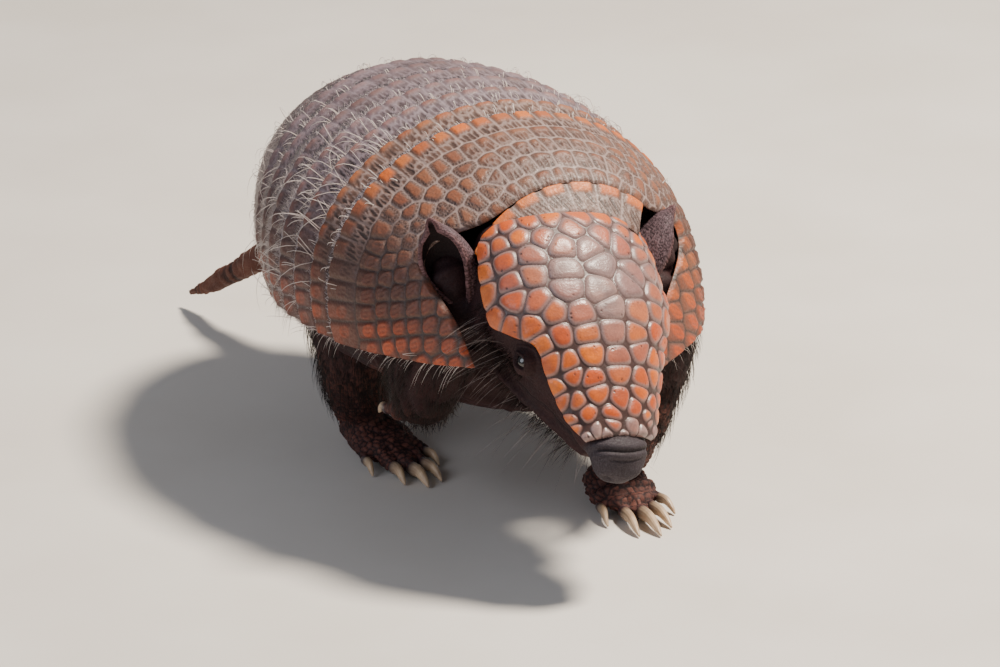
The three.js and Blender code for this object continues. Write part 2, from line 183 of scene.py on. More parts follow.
def along(table, column, x):
    """A smooth monotone curve through one column of a table, read at x in column 0."""
    xs, ys = table[:, 0], table[:, column]
    x = np.clip(x, xs[0], xs[-1])
    slopes = np.diff(ys) / np.diff(xs)
    product = slopes[:-1] * slopes[1:]
    total = np.where(product > 0, slopes[:-1] + slopes[1:], 1)
    tangents = np.concatenate((slopes[:1], np.where(product > 0, 2 * product / total, 0), slopes[-1:]))
    i = np.clip(np.searchsorted(xs, x, side="left") - 1, 0, len(xs) - 2)
    h = xs[i + 1] - xs[i]
    t = (x - xs[i]) / h
    return (
        (2 * t**3 - 3 * t**2 + 1) * ys[i]
        + (t**3 - 2 * t**2 + t) * h * tangents[i]
        + (3 * t**2 - 2 * t**3) * ys[i + 1]
        + (t**3 - t**2) * h * tangents[i + 1]
    )


def smooth(low, high, x):
    """0 below low, 1 above high, and smooth between."""
    t = np.clip((np.asarray(x, float) - low) / (high - low), 0, 1)
    return t * t * (3 - 2 * t)


def bump(x, centre, width):
    """A bell of height 1 at centre."""
    return np.exp(-(((np.asarray(x, float) - centre) / width) ** 2))


def unit(v):
    """Vectors made one long."""
    return v / np.maximum(np.linalg.norm(v, axis=-1, keepdims=True), 1e-9)


def spots(x, y, z):
    """Points from their three coordinates, spread to one shape."""
    return np.stack(np.broadcast_arrays(x, y, z), axis=-1)


def rolled(x, y, z, s):
    """The lean of the shoulders over the planted forefoot, fading towards the tail."""
    angle = ROLL * (1 - s)
    up, turn, lean = z - ROLL_HEIGHT, np.cos(angle), np.sin(angle)
    return spots(x * turn + up * lean, y, ROLL_HEIGHT - x * lean + up * turn)


def swept(s, side):
    """How far forward the low edges of the armour reach, at angles side from the midline."""
    return SWEEP * np.maximum(0, (side - math.radians(45)) / math.radians(60)) ** 2 * (1 - s)


def back_point(s, a, depth=0.0):
    """A point of the back at share s and angle a from the midline, sunk by depth."""
    y, zc, lean, width, rise = (along(BACK, c, s) for c in (1, 2, 3, 4, 5))
    tilt = np.radians(lean)
    fade = np.maximum(0, 1 - np.maximum(s, 0) / CURL_END) ** 2
    curl = CURL * fade * smooth(math.radians(35), math.radians(72), a)
    droop = DROOP * fade * smooth(math.radians(55), math.radians(104), a)
    w, h = width - depth - curl, rise - depth
    z = zc + h * np.cos(a) * np.cos(tilt) - droop
    return rolled(w * np.sin(a), y - swept(s, np.abs(a)) + h * np.cos(a) * np.sin(tilt), z, s)


def trunk_ring(s, a, inset):
    """A point of the flesh under the armour: the dome above, and the belly below it."""
    y, zc, lean, width, rise, belly = (along(BACK, c, s) for c in (1, 2, 3, 4, 5, 6))
    tilt = np.radians(lean)
    up = np.cos(a)
    h = np.where(up > 0, rise - inset, belly)
    side = np.minimum(np.minimum(a, 2 * np.pi - a), ARMOUR_HALF)
    return rolled((width - inset) * np.sin(a), y - swept(s, side) + h * up * np.sin(tilt),
                  zc + h * up * np.cos(tilt), s)


HEAD_FRAME = (
    Matrix.Translation(HEAD_ORIGIN)
    @ Matrix.Rotation(HEAD_TURN, 4, "Z")
    @ Matrix.Rotation(HEAD_ROLL, 4, "Y")
    @ Matrix.Rotation(HEAD_PITCH - math.pi / 2, 4, "X")
)


def head_point(u, v, w):
    """A point of the head: u down the face, v to the left, w out of the face."""
    turn = np.array(HEAD_FRAME)
    return spots(v, -np.asarray(w, float), -np.asarray(u, float)) @ turn[:3, :3].T + turn[:3, 3]


def head_place(points):
    """The head's own u, v and w of points of the animal's frame."""
    turn = np.array(HEAD_FRAME)
    local = (points - turn[:3, 3]) @ turn[:3, :3]
    return -local[..., 2], local[..., 0], -local[..., 1]


def head_skin(table, u, a, extra=0.0):
    """A point of the head's skin at angle a from the top, swollen by extra."""
    width, top, under = (along(table, c, u) for c in (1, 2, 3))
    middle = top - (top - under) * 0.45
    up = np.cos(a)
    reach = np.where(up > 0, top - middle, middle - under) + extra
    return head_point(u, (width + extra) * np.sin(a), middle + reach * np.sign(up) * np.abs(up) ** 0.9)


def neck_point(s, a, extra=0.0):
    """A point of the neck, which turns from the lean of the shoulders to the pitch of the head."""
    x, y, z, lean, width, rise, depth = (along(NECK, c, s) for c in range(1, 8))
    tilt = np.radians(lean)
    up = np.cos(a)
    h = np.where(up > 0, rise, depth) + extra
    return spots(x + (width + extra) * np.sin(a), y + h * up * np.sin(tilt), z + h * up * np.cos(tilt))


def catmull(points, t):
    """Points and tangents of the centripetal curve through stations, at shares t, as the legs follow."""
    points = np.asarray(points, float)
    knots = np.concatenate((2 * points[:1] - points[1:2], points, 2 * points[-1:] - points[-2:-1]))
    at = np.clip(t, 0, 1) * (len(points) - 1)
    i = np.minimum(at.astype(int), len(points) - 2)
    f = (at - i)[:, None]
    p0, p1, p2, p3 = (knots[i + k] for k in range(4))
    pairs = ((p0, p1), (p1, p2), (p2, p3))
    d0, d1, d2 = (np.linalg.norm(b - a, axis=1, keepdims=True) ** 0.5 for a, b in pairs)
    m1 = ((p1 - p0) / d0 - (p2 - p0) / (d0 + d1) + (p2 - p1) / d1) * d1
    m2 = ((p2 - p1) / d1 - (p3 - p1) / (d1 + d2) + (p3 - p2) / d2) * d1
    a, b = 2 * p1 - 2 * p2 + m1 + m2, -3 * p1 + 3 * p2 - 2 * m1 - m2
    return p1 + m1 * f + b * f**2 + a * f**3, unit(m1 + 2 * b * f + 3 * a * f**2)


def limb_frame(stations, shares):
    """A limb at shares of its length: its middle, the ways along, across and deep, and its half widths."""
    stations = np.asarray(stations, float)
    centre, way = catmull(stations[:, :3], shares)
    across = unit(np.array((1.0, 0, 0)) - way * way[:, :1])
    knots = np.linspace(0, 1, len(stations))
    p, q = (along(np.column_stack((knots, stations[:, k])), 1, shares) for k in (3, 4))
    return centre, way, across, np.cross(way, across), p, q


def limb_rings(stations, shares, sides, extra=0.0):
    """Rings of points round a tapering limb."""
    centre, _, across, deep, p, q = limb_frame(stations, shares)
    p, q = p + extra, q + extra
    angles = np.linspace(0, 2 * np.pi, sides, endpoint=False)
    ring = across[:, None] * (p[:, None] * np.cos(angles))[..., None]
    ring = ring + deep[:, None] * (q[:, None] * np.sin(angles))[..., None]
    return centre[:, None] + ring


# ---- meshes ----
def grid_faces(rows, columns, start=0, closed=False, turned=False):
    """The quads of a grid of points, rows by columns, as indices."""
    r, c = np.meshgrid(np.arange(rows - 1), np.arange(columns if closed else columns - 1), indexing="ij")
    a, b = r * columns + c, r * columns + (c + 1) % columns
    quads = np.stack((a, b, b + columns, a + columns), axis=-1).reshape(-1, 4) + start
    return quads[:, ::-1] if turned else quads


def mesh_object(name, points, faces, attributes=None):
    """A mesh object from points in millimetres and lists of faces, with colour attributes by name."""
    mesh = bpy.data.meshes.new(name)
    mesh.from_pydata(to_frame(points).tolist(), [], [list(f) for f in faces])
    mesh.polygons.foreach_set("use_smooth", [True] * len(mesh.polygons))
    for key, values in (attributes or {}).items():
        add_marks(mesh, key, values)
    made = bpy.data.objects.new(name, mesh)
    bpy.context.scene.collection.objects.link(made)
    return made


def add_marks(mesh, key, values):
    """Four values a vertex, as a colour attribute that materials read."""
    layer = mesh.color_attributes.new(key, "FLOAT_COLOR", "POINT")
    full = np.ones((len(mesh.vertices), 4))
    full[:, : values.shape[1]] = values
    layer.data.foreach_set("color", full.ravel())


def mesh_points(mesh):
    """A mesh's vertices in millimetres of the animal's own frame."""
    points = np.empty(len(mesh.vertices) * 3)
    mesh.vertices.foreach_get("co", points)
    return points.reshape(-1, 3) / MM - FRAME_SHIFT


def dress(piece, material, nodes=()):
    """Finishes a piece: its material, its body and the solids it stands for."""
    piece.data.materials.clear()
    piece.data.materials.append(material)
    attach(piece, "root")
    if nodes:
        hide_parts(*nodes)
    return piece


def shell_mesh(name, outer, inner, attributes):
    """A closed plate: a fine grid outside, a coarse grid inside, and a wall round the edge.

    The fine grid has a whole number of cells to each coarse one, and each stretch of wall is one face.
    """
    (rows, columns), (r, c) = outer.shape[:2], inner.shape[:2]
    under = rows * columns
    faces = grid_faces(rows, columns).tolist() + grid_faces(r, c, under, turned=True).tolist()
    fine, coarse = np.arange(under).reshape(rows, columns), np.arange(under, under + r * c).reshape(r, c)
    for flip, fine, coarse in ((False, fine, coarse), (True, fine.T, coarse.T)):
        step = (len(fine) - 1) // (len(coarse) - 1)
        for i in range(len(coarse) - 1):
            for edge, turned in ((0, flip), (-1, not flip)):
                wall = [*fine[i * step : (i + 1) * step + 1, edge], coarse[i + 1, edge], coarse[i, edge]]
                faces.append(wall[::-1] if turned else wall)
    points = np.concatenate((outer.reshape(-1, 3), inner.reshape(-1, 3)))
    # The inside carries no marks.
    filled = {key: np.concatenate((values.reshape(-1, 3), np.zeros((r * c, 3))))
              for key, values in attributes.items()}
    return mesh_object(name, points, faces, filled)


def outward(piece, islands=False):
    """Turns a closed piece's faces, or those of each of its closed bodies, to point out."""
    mesh = bmesh.new()
    mesh.from_mesh(piece.data)
    bmesh.ops.recalc_face_normals(mesh, faces=mesh.faces)
    if not islands and mesh.calc_volume(signed=True) < 0:
        bmesh.ops.reverse_faces(mesh, faces=mesh.faces)
    mesh.to_mesh(piece.data)
    mesh.free()
    return piece


# ---- scutes ----
BATCH = 6000  # points worked on at a time
GAP = 0.004  # the share of the back left open between a band and the next
ARMOUR_END = 0.99
BACK_LENGTH = 255.0  # millimetres to a whole share of the back, at the bands
BACK_RADIUS = 85.0  # and to a radian across them
COARSE = 8  # each step of a plate's inside spans this many of its outside
THIN = (slice(None, None, COARSE), slice(None, None, COARSE))
PAD = 0.85  # millimetres from a plate's outside down to the level that its relief stands on


def cell_pattern(points, seeds, rounding=2.2, near=6):
    """For each point of a surface: its cell, how far the cell's rounded border is, and the way from its seed.

    A small rounding gives rounder cells. Each cell has a seed, and only the near seeds count for a point.
    """
    cell = np.empty(len(points), int)
    border = np.empty(len(points))
    near = min(near, len(seeds))
    size = (seeds**2).sum(1)
    for start in range(0, len(points), BATCH):
        part = points[start : start + BATCH]
        gaps = (part**2).sum(1)[:, None] + size[None] - 2 * part @ seeds.T
        nearest = np.argpartition(gaps, near - 1, axis=1)[:, :near]
        order = np.argsort(np.take_along_axis(gaps, nearest, 1), axis=1)
        nearest = np.take_along_axis(nearest, order, 1)
        sorted_gaps = np.take_along_axis(gaps, nearest, 1)
        own = seeds[nearest[:, 0]]
        apart = np.linalg.norm(seeds[nearest[:, 1:]] - own[:, None], axis=-1)
        to_border = (sorted_gaps[:, 1:] - sorted_gaps[:, :1]) / (2 * np.maximum(apart, 1e-6))
        cell[start : start + BATCH] = nearest[:, 0]
        border[start : start + BATCH] = -np.log(np.exp(-rounding * to_border).sum(1)) / rounding
    return cell, border, points - seeds[cell]


def laid_flat(grid, way):
    """Ways from the seeds as millimetres across and along the rows of a grid of surface points."""
    along_rows = unit(np.gradient(grid, axis=0)).reshape(-1, 3)
    across_rows = unit(np.gradient(grid, axis=1)).reshape(-1, 3)
    return np.stack(((way * across_rows).sum(-1), (way * along_rows).sum(-1)), axis=-1)


def waves(points, seed, length):
    """Soft even noise from -1 to 1 over points of any dimension, with hills about length across."""
    rng = np.random.default_rng(seed)
    total = np.zeros(len(points))
    for _ in range(10):
        way = rng.normal(size=points.shape[1])
        way *= 2 * math.pi / (length * rng.uniform(0.8, 1.9)) / np.linalg.norm(way)
        total += np.sin(points @ way + rng.uniform(0, 2 * math.pi))
    return total / 4.5


def grain(points, size, seed):
    """Small cells about size across, in two or three dimensions, each round a point anywhere in its square.

    Gives how far each point is from its cell's border, 0 to about 1, and a value for the cell.
    """
    at = points / size
    base = np.floor(at)
    dimensions = points.shape[1]
    first, second = np.full(len(points), 9.0), np.full(len(points), 9.0)
    value = np.zeros(len(points))
    for step in np.ndindex(*[3] * dimensions):
        home = base + step - 1
        code = home @ np.array((127.1, 311.7, 74.7)[:dimensions]) + seed * 17.3
        scatter = [np.modf(np.abs(np.sin(code + k) * 43758.5453))[0] for k in (0.0, 2.7, 5.1)[:dimensions]]
        gap = np.linalg.norm(home + 0.15 + 0.7 * np.stack(scatter, -1) - at, axis=1)
        closer = gap < first
        second = np.where(closer, first, np.minimum(second, gap))
        value = np.where(closer, scatter[0], value)
        first = np.where(closer, gap, first)
    return second - first, value


def rim_drop(edge, radius):
    """How far a surface falls by its rim, rounded to a radius, at a distance edge from the rim."""
    inside = np.clip(radius - edge, 0, radius)
    return radius - np.sqrt(radius**2 - inside**2)


def spacing(grid, axis):
    """Millimetres run along one axis of a grid of points, from its start."""
    lengths = np.linalg.norm(np.diff(grid, axis=axis), axis=-1)
    run = np.cumsum(lengths, axis=axis)
    return np.concatenate((np.zeros_like(np.take(run, [0], axis=axis)), run), axis=axis)


def from_edges(run, across):
    """Millimetres from the nearest edge of a grid, from those run down it and across it."""
    return np.minimum.reduce((run, run[-1:] - run, across, across[:, -1:] - across))


def plate_piece(name, node, faces, scutes, places, material):
    """A plate from its outer and inner faces, with three marks of its scutes and three of its places."""
    outer, inner = faces
    marks = {key: np.stack([v.reshape(outer.shape[:2]) for v in values], axis=-1)
             for key, values in (("Scutes", scutes), ("Places", places))}
    return dress(outward(shell_mesh(name, outer, inner, marks)), material, [node])


# The back laid flat: how far each point is from the neck, along its own meridian.
TRACK_S = np.linspace(-0.08, 1, 217)
TRACK_A = np.linspace(-ARMOUR_HALF, ARMOUR_HALF, 53)
TRACK = spacing(back_point(TRACK_S[:, None], TRACK_A[None, :]), 0)


def back_map(s, a):
    """Millimetres across from the midline and along from the neck, of points of the back."""
    i = np.clip((s - TRACK_S[0]) / (TRACK_S[1] - TRACK_S[0]), 0, len(TRACK_S) - 1.001)
    j = np.clip((a - TRACK_A[0]) / (TRACK_A[1] - TRACK_A[0]), 0, len(TRACK_A) - 1.001)
    i0, j0 = i.astype(int), j.astype(int)
    f, g = i - i0, j - j0
    low = TRACK[i0, j0] * (1 - g) + TRACK[i0, j0 + 1] * g
    high = TRACK[i0 + 1, j0] * (1 - g) + TRACK[i0 + 1, j0 + 1] * g
    radius = (along(BACK, 4, s) + along(BACK, 5, s)) / 2
    return np.stack((a * radius, low * (1 - f) + high * f), axis=-1)


def row_seeds(rng, s, span, pitch, jitter, offset=0.0):
    """Scute centres along one row across the back, on both sides of the midline."""
    low, high = span
    radius = (along(BACK, 4, s) + along(BACK, 5, s)) / 2
    step = pitch / radius
    angles = np.arange(low + step * (0.5 + offset), high, step)
    angles = np.concatenate((-angles[::-1], angles))
    shares = np.full(len(angles), s) + rng.normal(0, jitter * 0.035, len(angles))
    return np.column_stack((shares, angles + rng.normal(0, jitter * step, len(angles))))


def long_scute(border, flat, way, length, seed):
    """Band scutes: fine ridges and pits on the front, and a smooth bright rear end."""
    rear = way[:, 1] / length
    end = smooth(0.04, 0.2, rear) * smooth(0.8, 3.0, border)
    lines, value = grain(flat * (1, 0.24), np.array((2.3, 2.3)), seed)
    front = 1 - smooth(0.0, 0.17, rear)
    pit = front * smooth(0.15, 0.4, lines) * smooth(0.4, 0.9, border) * (0.25 + 0.75 * value)
    height = 0.4 * smooth(-0.1, 1.0, border) + 0.7 * end * smooth(0.3, 2.6, border) - 0.55 * pit
    pale = np.maximum(front * (1 - smooth(0.06, 0.3, lines)) * 0.8, 1 - smooth(0.25, 0.7, border))
    return height, end, pale * (1 - end), pit


def net_scute(border, flat, value, seed):
    """Shoulder scutes: a raised bright middle in a ring of pits, under a pale net."""
    core = smooth(1.0, 2.6, border + 1.5 * (value - 0.75))
    cells, shade = grain(flat, np.array((1.5, 1.5)), seed)
    ring = (1 - 0.8 * core) * smooth(0.3, 0.7, border)
    pit = ring * smooth(0.15, 0.4, cells) * (0.3 + 0.7 * shade)
    height = 0.5 * smooth(-0.1, 1.2, border) + 0.45 * core - 0.4 * pit
    pale = np.maximum(ring * (1 - smooth(0.04, 0.2, cells)) * 0.5, 1 - smooth(0.2, 0.6, border))
    return height, core, pale * (1 - core), pit


def flank_scute(border, way, width):
    """Flank scutes: plain pillows, each with a raised oval and a few lines along it."""
    oval = np.hypot(way[:, 0] / (0.36 * width), way[:, 1] / (0.42 * width))
    ring = bump(oval, 0.85, 0.2)
    lines = 0.5 + 0.5 * np.cos(2 * math.pi * way[:, 0] / 2.3)
    middle = 1 - smooth(0.65, 0.95, oval)
    height = 1.1 * smooth(-0.2, 2.0, border) + 0.35 * ring + 0.25 * lines * middle
    core = np.clip(ring * 0.5 + middle * (0.35 + 0.65 * lines) + 0.25, 0, 1) * smooth(0.3, 1.4, border)
    return height, core, 0 * border, 1 - smooth(0.0, 0.45, border)


def mixed(parts, weights):
    """Reliefs of several kinds of scute, weighed at each point."""
    return [sum(w * p[k] for w, p in zip(weights, parts)) for k in range(4)]


def armour_plate(name, node, shape, span, seeds, kinds, lift, bright, material, hinge=0.0):
    """One plate of the body armour.

    span gives its first share for an angle and its last share. Its scutes have seeds, as shares and angles,
    and kinds, their lengths and how much each is a long one. bright says how orange their middles are, and
    hinge how many millimetres of bare skin show at the front edge.
    """
    (rows, columns), (first, last) = shape, span
    t = np.linspace(0, 1, rows)[:, None]
    a = np.linspace(-ARMOUR_HALF, ARMOUR_HALF, columns)[None, :]
    s = first(a) + (last - first(a)) * t
    base = back_point(s, a, -lift * t**2)
    flat = back_map(s, a + 0 * t).reshape(-1, 2)
    cell, border, way = cell_pattern(base.reshape(-1, 3), back_point(seeds[:, 0], seeds[:, 1]))
    way = laid_flat(base, way)
    rng = np.random.default_rng(len(seeds))
    value, tone = (rng.uniform(size=len(seeds))[cell] for _ in range(2))
    length, is_long = kinds[cell, 0], kinds[cell, 1]
    angle = np.degrees(np.abs(np.broadcast_to(a, s.shape))).ravel()
    flank = smooth(56, 74, angle + 5 * waves(flat, 3, 30))
    is_long = is_long * (1 - 0.7 * smooth(66, 84, angle))
    weights = ((1 - flank) * (1 - is_long), is_long, flank * (1 - is_long))
    parts = (net_scute(border, flat, value, 5), long_scute(border, flat, way, length, 7),
             flank_scute(border, way, 8.6))
    height, core, pale, pit = mixed(parts, weights)
    along_run, across_run = spacing(base, 0), spacing(base, 1)
    bare = smooth(hinge, 0.6 * hinge - 0.01, along_run).ravel() if hinge else 0.0
    core, pale, pit = core * (1 - bare), pale * (1 - bare) + 0.3 * bare, pit * (1 - bare) + 0.55 * bare
    # Towards the tail the relief is shallower, filled by the roots of the coat.
    worn = smooth(0.36, 0.62, s).ravel()
    pale, pit = pale * (1 - 0.5 * worn), pit * (1 - 0.55 * worn)
    height = height * (1 - bare) * (1 - 0.3 * worn) - 0.4 * bare
    edge = from_edges(along_run, across_run)
    sink = rim_drop(edge, 1.4) + PAD - height.reshape(s.shape) * smooth(0, 1.6, edge)
    faces = (back_point(s, a, sink - lift * t**2),
             back_point(s[THIN], (a + 0 * t)[THIN], SHELL - 1.2 - (lift * t**2)[::COARSE]))
    share = s.ravel()
    # The shoulder shield's front edge beside the neck is as orange as its last row; the extra on the left,
    # which faces the key light, is painted light.
    left = (np.broadcast_to(a, s.shape) > 0).ravel()
    front_edge_with_painted_light = smooth(0.15, 0.09, share) * smooth(48, 62, angle) * (0.35 + 0.65 * left)
    shine = np.maximum(bright(angle, is_long) * (0.5 + 0.5 * value), 0.95 * front_edge_with_painted_light)
    # Darker flanks: partly their own deeper brown, partly painted shade where the sides turn down from the
    # light above.
    flank_brown_and_shade = smooth(48, 80, angle) * (1 - 0.7 * front_edge_with_painted_light)
    return plate_piece(name, node, faces, (core * shine, pale * (1 - 0.8 * flank), pit),
                       (flank_brown_and_shade, smooth(72, 98, angle), tone), material)


def shoulder_front(a):
    """The shoulder shield's front edge, notched behind each ear."""
    return SHOULDER_START + 0.09 * np.exp(-(((np.abs(a) - math.radians(65)) / math.radians(16)) ** 2))


def make_shoulder_plate(settings, material):
    """The shoulder shield: four long rows on the midline, more and shorter ones on the flanks."""
    rng = np.random.default_rng(11)
    end = SHOULDER_END - GAP
    last_row = 0.27 * end
    front = end - last_row
    zones = ((0, 26, 4), (26, 48, 5), (48, 104, 7))
    seeds, kinds = [], []
    for low, high, rows in zones:
        for row in range(rows):
            s = front * (row + 0.5) / rows
            offset = 0.5 * (row % 2) - 0.25
            made = row_seeds(rng, s, (math.radians(low), math.radians(high)), settings.scute, 0.05, offset)
            seeds.append(made)
            kinds.append(np.tile((front / rows * BACK_LENGTH, 0.7 if rows == 4 else 0.0), (len(made), 1)))
    made = row_seeds(rng, end - last_row * 0.5, (0, ARMOUR_HALF), settings.band_scute, 0.02)
    seeds.append(made)
    kinds.append(np.tile((last_row * BACK_LENGTH, 1.0), (len(made), 1)))

    def bright(angle, is_long):
        top = 0.25 + 0.75 * smooth(0.75, 1.0, is_long) * smooth(66, 50, angle)
        return top * smooth(75, 60, angle) + (0.2 + 0.8 * smooth(84, 101, angle)) * smooth(60, 75, angle)

    return armour_plate("shoulder_plate", "shoulder_shield", (145, 561), (shoulder_front, end),
                        np.concatenate(seeds), np.concatenate(kinds), 1.2, bright, material)


def make_band_plate(settings, material, number):
    """One movable band: a single row of long scutes, duller towards the rump."""
    rng = np.random.default_rng(20 + number)
    size = (PELVIC_START - SHOULDER_END) / BANDS
    start = SHOULDER_END + (number - 1) * size
    seeds = row_seeds(rng, start + size * 0.58, (0, ARMOUR_HALF), settings.band_scute, 0.03)
    kinds = np.tile((size * BACK_LENGTH, 1.0), (len(seeds), 1))

    def bright(angle, _):
        return 0.42 / number + 0.55 * smooth(78, 98, angle)

    return armour_plate(f"band_plate_{number}", f"band_{number}", (25, 449),
                        (lambda a: start + 0 * a, start + size - GAP), seeds, kinds, 1.2, bright, material,
                        hinge=3.6 if number == 1 else 1.4)


def make_pelvic_plate(settings, material):
    """The pelvic shield: rows that grow shorter towards the tail."""
    rng = np.random.default_rng(31)
    edges = PELVIC_START + (ARMOUR_END - PELVIC_START) * np.linspace(0, 1, 12) ** 0.95
    seeds = [row_seeds(rng, (a + b) / 2, (0, ARMOUR_HALF), settings.scute, 0.05, 0.5 * (k % 2) - 0.25)
             for k, (a, b) in enumerate(zip(edges, edges[1:]))]
    seeds = np.concatenate(seeds)
    kinds = np.tile((12.0, 0.6), (len(seeds), 1))

    def bright(angle, _):
        return 0.1 + 0.45 * smooth(82, 100, angle)

    return armour_plate("pelvic_plate", "pelvic_shield", (169, 321),
                        (lambda a: PELVIC_START + 0 * a, ARMOUR_END), seeds, kinds, 0.0, bright, material)


def make_nape_plate(settings, material):
    """The loose row on the nape, between the head shield and the shoulder shield."""
    rng = np.random.default_rng(41)
    t = np.linspace(0, 1, 33)[:, None]
    a = np.linspace(*NAPE_ENDS, 193)[None, :]
    s = NAPE_SPAN[0] + (NAPE_SPAN[1] - NAPE_SPAN[0]) * t + 0 * a
    dip = NAPE_DIP * (1 - t) * smooth(math.radians(-60), math.radians(30), a)
    base = back_point(s, a, 0.6 + dip)
    run, across = spacing(base, 0), spacing(base, 1)
    flat = np.stack((across, run), axis=-1).reshape(-1, 2)
    count = int(round(across[0, -1] / settings.nape_scute))
    angles = NAPE_ENDS[0] + (NAPE_ENDS[1] - NAPE_ENDS[0]) * (np.arange(count) + 0.5) / count
    seeds = back_point(np.full(count, sum(NAPE_SPAN) / 2), angles + rng.normal(0, 0.008, count), 2.0)
    cell, border, way = cell_pattern(base.reshape(-1, 3), seeds)
    height, core, pale, pit = long_scute(border, flat, laid_flat(base, way), run[-1].mean(), 9)
    core = core * smooth(1.0, 3.4, border)
    edge = from_edges(run, across)
    sink = 0.6 + rim_drop(edge, 1.2) + 0.6 - height.reshape(s.shape) * smooth(0, 1.4, edge)
    faces = back_point(s, a, sink + dip), back_point(s[THIN], (a + 0 * t)[THIN], 2.9 + dip[THIN])
    tone = rng.uniform(size=len(seeds))[cell]
    return plate_piece("nape_plate", "nape_band", faces, (core * 0.95, pale, pit),
                       (0 * core, 0 * core, tone), material)


# Rows of the head shield from the nape to the snout: u of the row and how many scutes lie across it.
HEAD_ROWS = ((6, 9), (14.5, 10), (23.5, 9), (34, 9), (45, 9), (55, 9), (65, 7), (75, 7), (84, 7), (92.5, 7),
             (99.5, 6), (105, 6), (109.5, 5))


def make_head_plate(settings, material):
    """The head shield: rounded scutes, widest on the crown and smallest on the snout."""
    rng = np.random.default_rng(settings.head_seed)
    rows, columns = 257, 281
    u = np.linspace(*HEAD_SHIELD_SPAN, rows)[:, None]
    v = np.linspace(-1, 1, columns)[None, :]
    half = np.radians(along(HEAD_SHIELD, 1, u))
    a = v * half
    base = head_skin(HEAD, u + 0 * v, a, HEAD_SHELL_OUTER)
    across = spacing(base, 1)
    across = across - across[:, columns // 2 : columns // 2 + 1]
    places = []
    for k, (at, count) in enumerate(HEAD_ROWS):
        loose = 0.0 if k == 0 else 1.0
        share = (np.arange(count) + 0.5) / count * 2 - 1
        share = np.sign(share) * np.abs(share) ** 0.9 + rng.normal(0, 0.022 * loose, count)
        down = at + rng.normal(0, 0.9 * loose, count) + 1.6 * loose * np.cos(np.pi * (np.arange(count) + k))
        places.append(np.column_stack((down, share)))
    places = np.concatenate(places)
    seeds = head_skin(HEAD, places[:, 0], places[:, 1] * np.radians(along(HEAD_SHIELD, 1, places[:, 0])),
                      HEAD_SHELL_OUTER)
    cell, border, _ = cell_pattern(base.reshape(-1, 3), seeds, rounding=0.9)
    value, tone = (rng.uniform(size=len(seeds))[cell] for _ in range(2))
    # The grey crown is widest high up and narrows to the middle of the face.
    down, side = places[:, 0], places[:, 1] * 46
    wide = 25 - 0.24 * np.maximum(down - 34, 0)
    grey = np.where(down < 34, bump(down, 34, 17), bump(down, 34, 44)) * bump(side, 2, wide)
    grey = grey + rng.normal(0, 0.1, len(seeds)) * (grey > 0.1)
    # The crown mark carries a painted highlight on the top of the head: paler ground, smaller orange middles
    # and lighter grooves.
    crown = (bump(down, 30, 36) * bump(side, 0, 40))[cell]
    grey = np.maximum(np.clip(grey * 1.15, 0, 0.96), smooth(102, 108, down))[cell]
    core = smooth(0.5 * crown, 1.4 + 1.9 * crown, border)
    flat = np.stack((across, u + 0 * v), axis=-1).reshape(-1, 2)
    dots, shade = grain(flat, np.array((1.5, 1.5)), 3)
    pit = smooth(0.35, 0.6, dots) * (shade > 0.9) * smooth(0.5, 1.2, border) * (1 - smooth(2.2, 3.0, border))
    height = 0.7 * smooth(-0.3, 0.9, border) + 0.6 * smooth(0.0, 2.8, border) - 0.25 * pit
    height = height + 0.06 * waves(flat, 9, 5)
    edge = from_edges(u - u[:1] + 0 * v, across - across[:, :1])
    sink = rim_drop(edge, 1.3) + 1.15 - height.reshape(edge.shape) * smooth(-0.4, 1.2, edge)
    faces = (head_skin(HEAD, u + 0 * v, a, HEAD_SHELL_OUTER - sink),
             head_skin(HEAD, (u + 0 * v)[THIN], a[THIN], HEAD_SHELL_OUTER - 2.9))
    orange = core * (1 - grey) * (0.8 + 0.2 * value)
    rim = smooth(0.1, 0.5, border) * (1 - smooth(0.6, 1.5, border))
    groove = np.maximum((1 - smooth(-0.1, 0.3, border)) * (1 - 0.35 * crown), pit)
    return plate_piece("head_plate", "head_shield", faces, (orange, rim, groove),
                       (grey, crown, tone), material)


# ---- skin ----
# What fills the hollow between the skull and the lower jaw: u, half width, top, underside.
CHEEKS = np.array([(30, 26, -20, -46), (50, 28.5, -20, -53), (64, 27, -20, -49), (80, 21.5, -15, -41),
                   (98, 14.5, -12, -34), (106, 11, -10, -29)], float)
TOE_RADIUS, CLAW_RADIUS = 4.6, 3.9
FOOT_REACH = 30  # a foot's points lie this near its middle
FACE_Y = -88  # the head lies ahead of this
TAIL_LENGTH, TAIL_RING = 150, 5.5
EAR_ACROSS, EAR_ALONG, EAR_TIP = 24, 45, 0.97  # millimetres across half an ear and along it, and its end
COAT_DEPTH = 0.5  # the skin lies this far inside the solids' flesh
VOXEL = 1.5  # the joined flesh is remeshed this fine


def lofted(rings):
    """Points and faces of a closed body through rings, with a fan over each end."""
    rows, n = rings.shape[:2]
    points = np.concatenate((rings.reshape(-1, 3), rings[:1].mean(1), rings[-1:].mean(1)))
    faces = grid_faces(rows, n, closed=True).tolist()
    for i in range(n):
        faces.append([(i + 1) % n, i, rows * n])
        faces.append([(rows - 1) * n + i, (rows - 1) * n + (i + 1) % n, rows * n + 1])
    return points, faces


def together(bodies):
    """The points and faces of several bodies as one list of each."""
    points, faces, start = [], [], 0
    for body_points, body_faces in bodies:
        points.append(body_points)
        faces += [[i + start for i in face] for face in body_faces]
        start += len(body_points)
    return np.concatenate(points), faces


def ball(centre, radius, n=28):
    """A round body at a point."""
    rise = np.linspace(-math.pi / 2 + 0.05, math.pi / 2 - 0.05, n // 2)[:, None]
    turn = np.linspace(0, 2 * math.pi, n, endpoint=False)[None, :]
    shape = spots(np.cos(rise) * np.cos(turn), np.cos(rise) * np.sin(turn), np.sin(rise))
    return lofted(np.asarray(centre) + radius * shape)


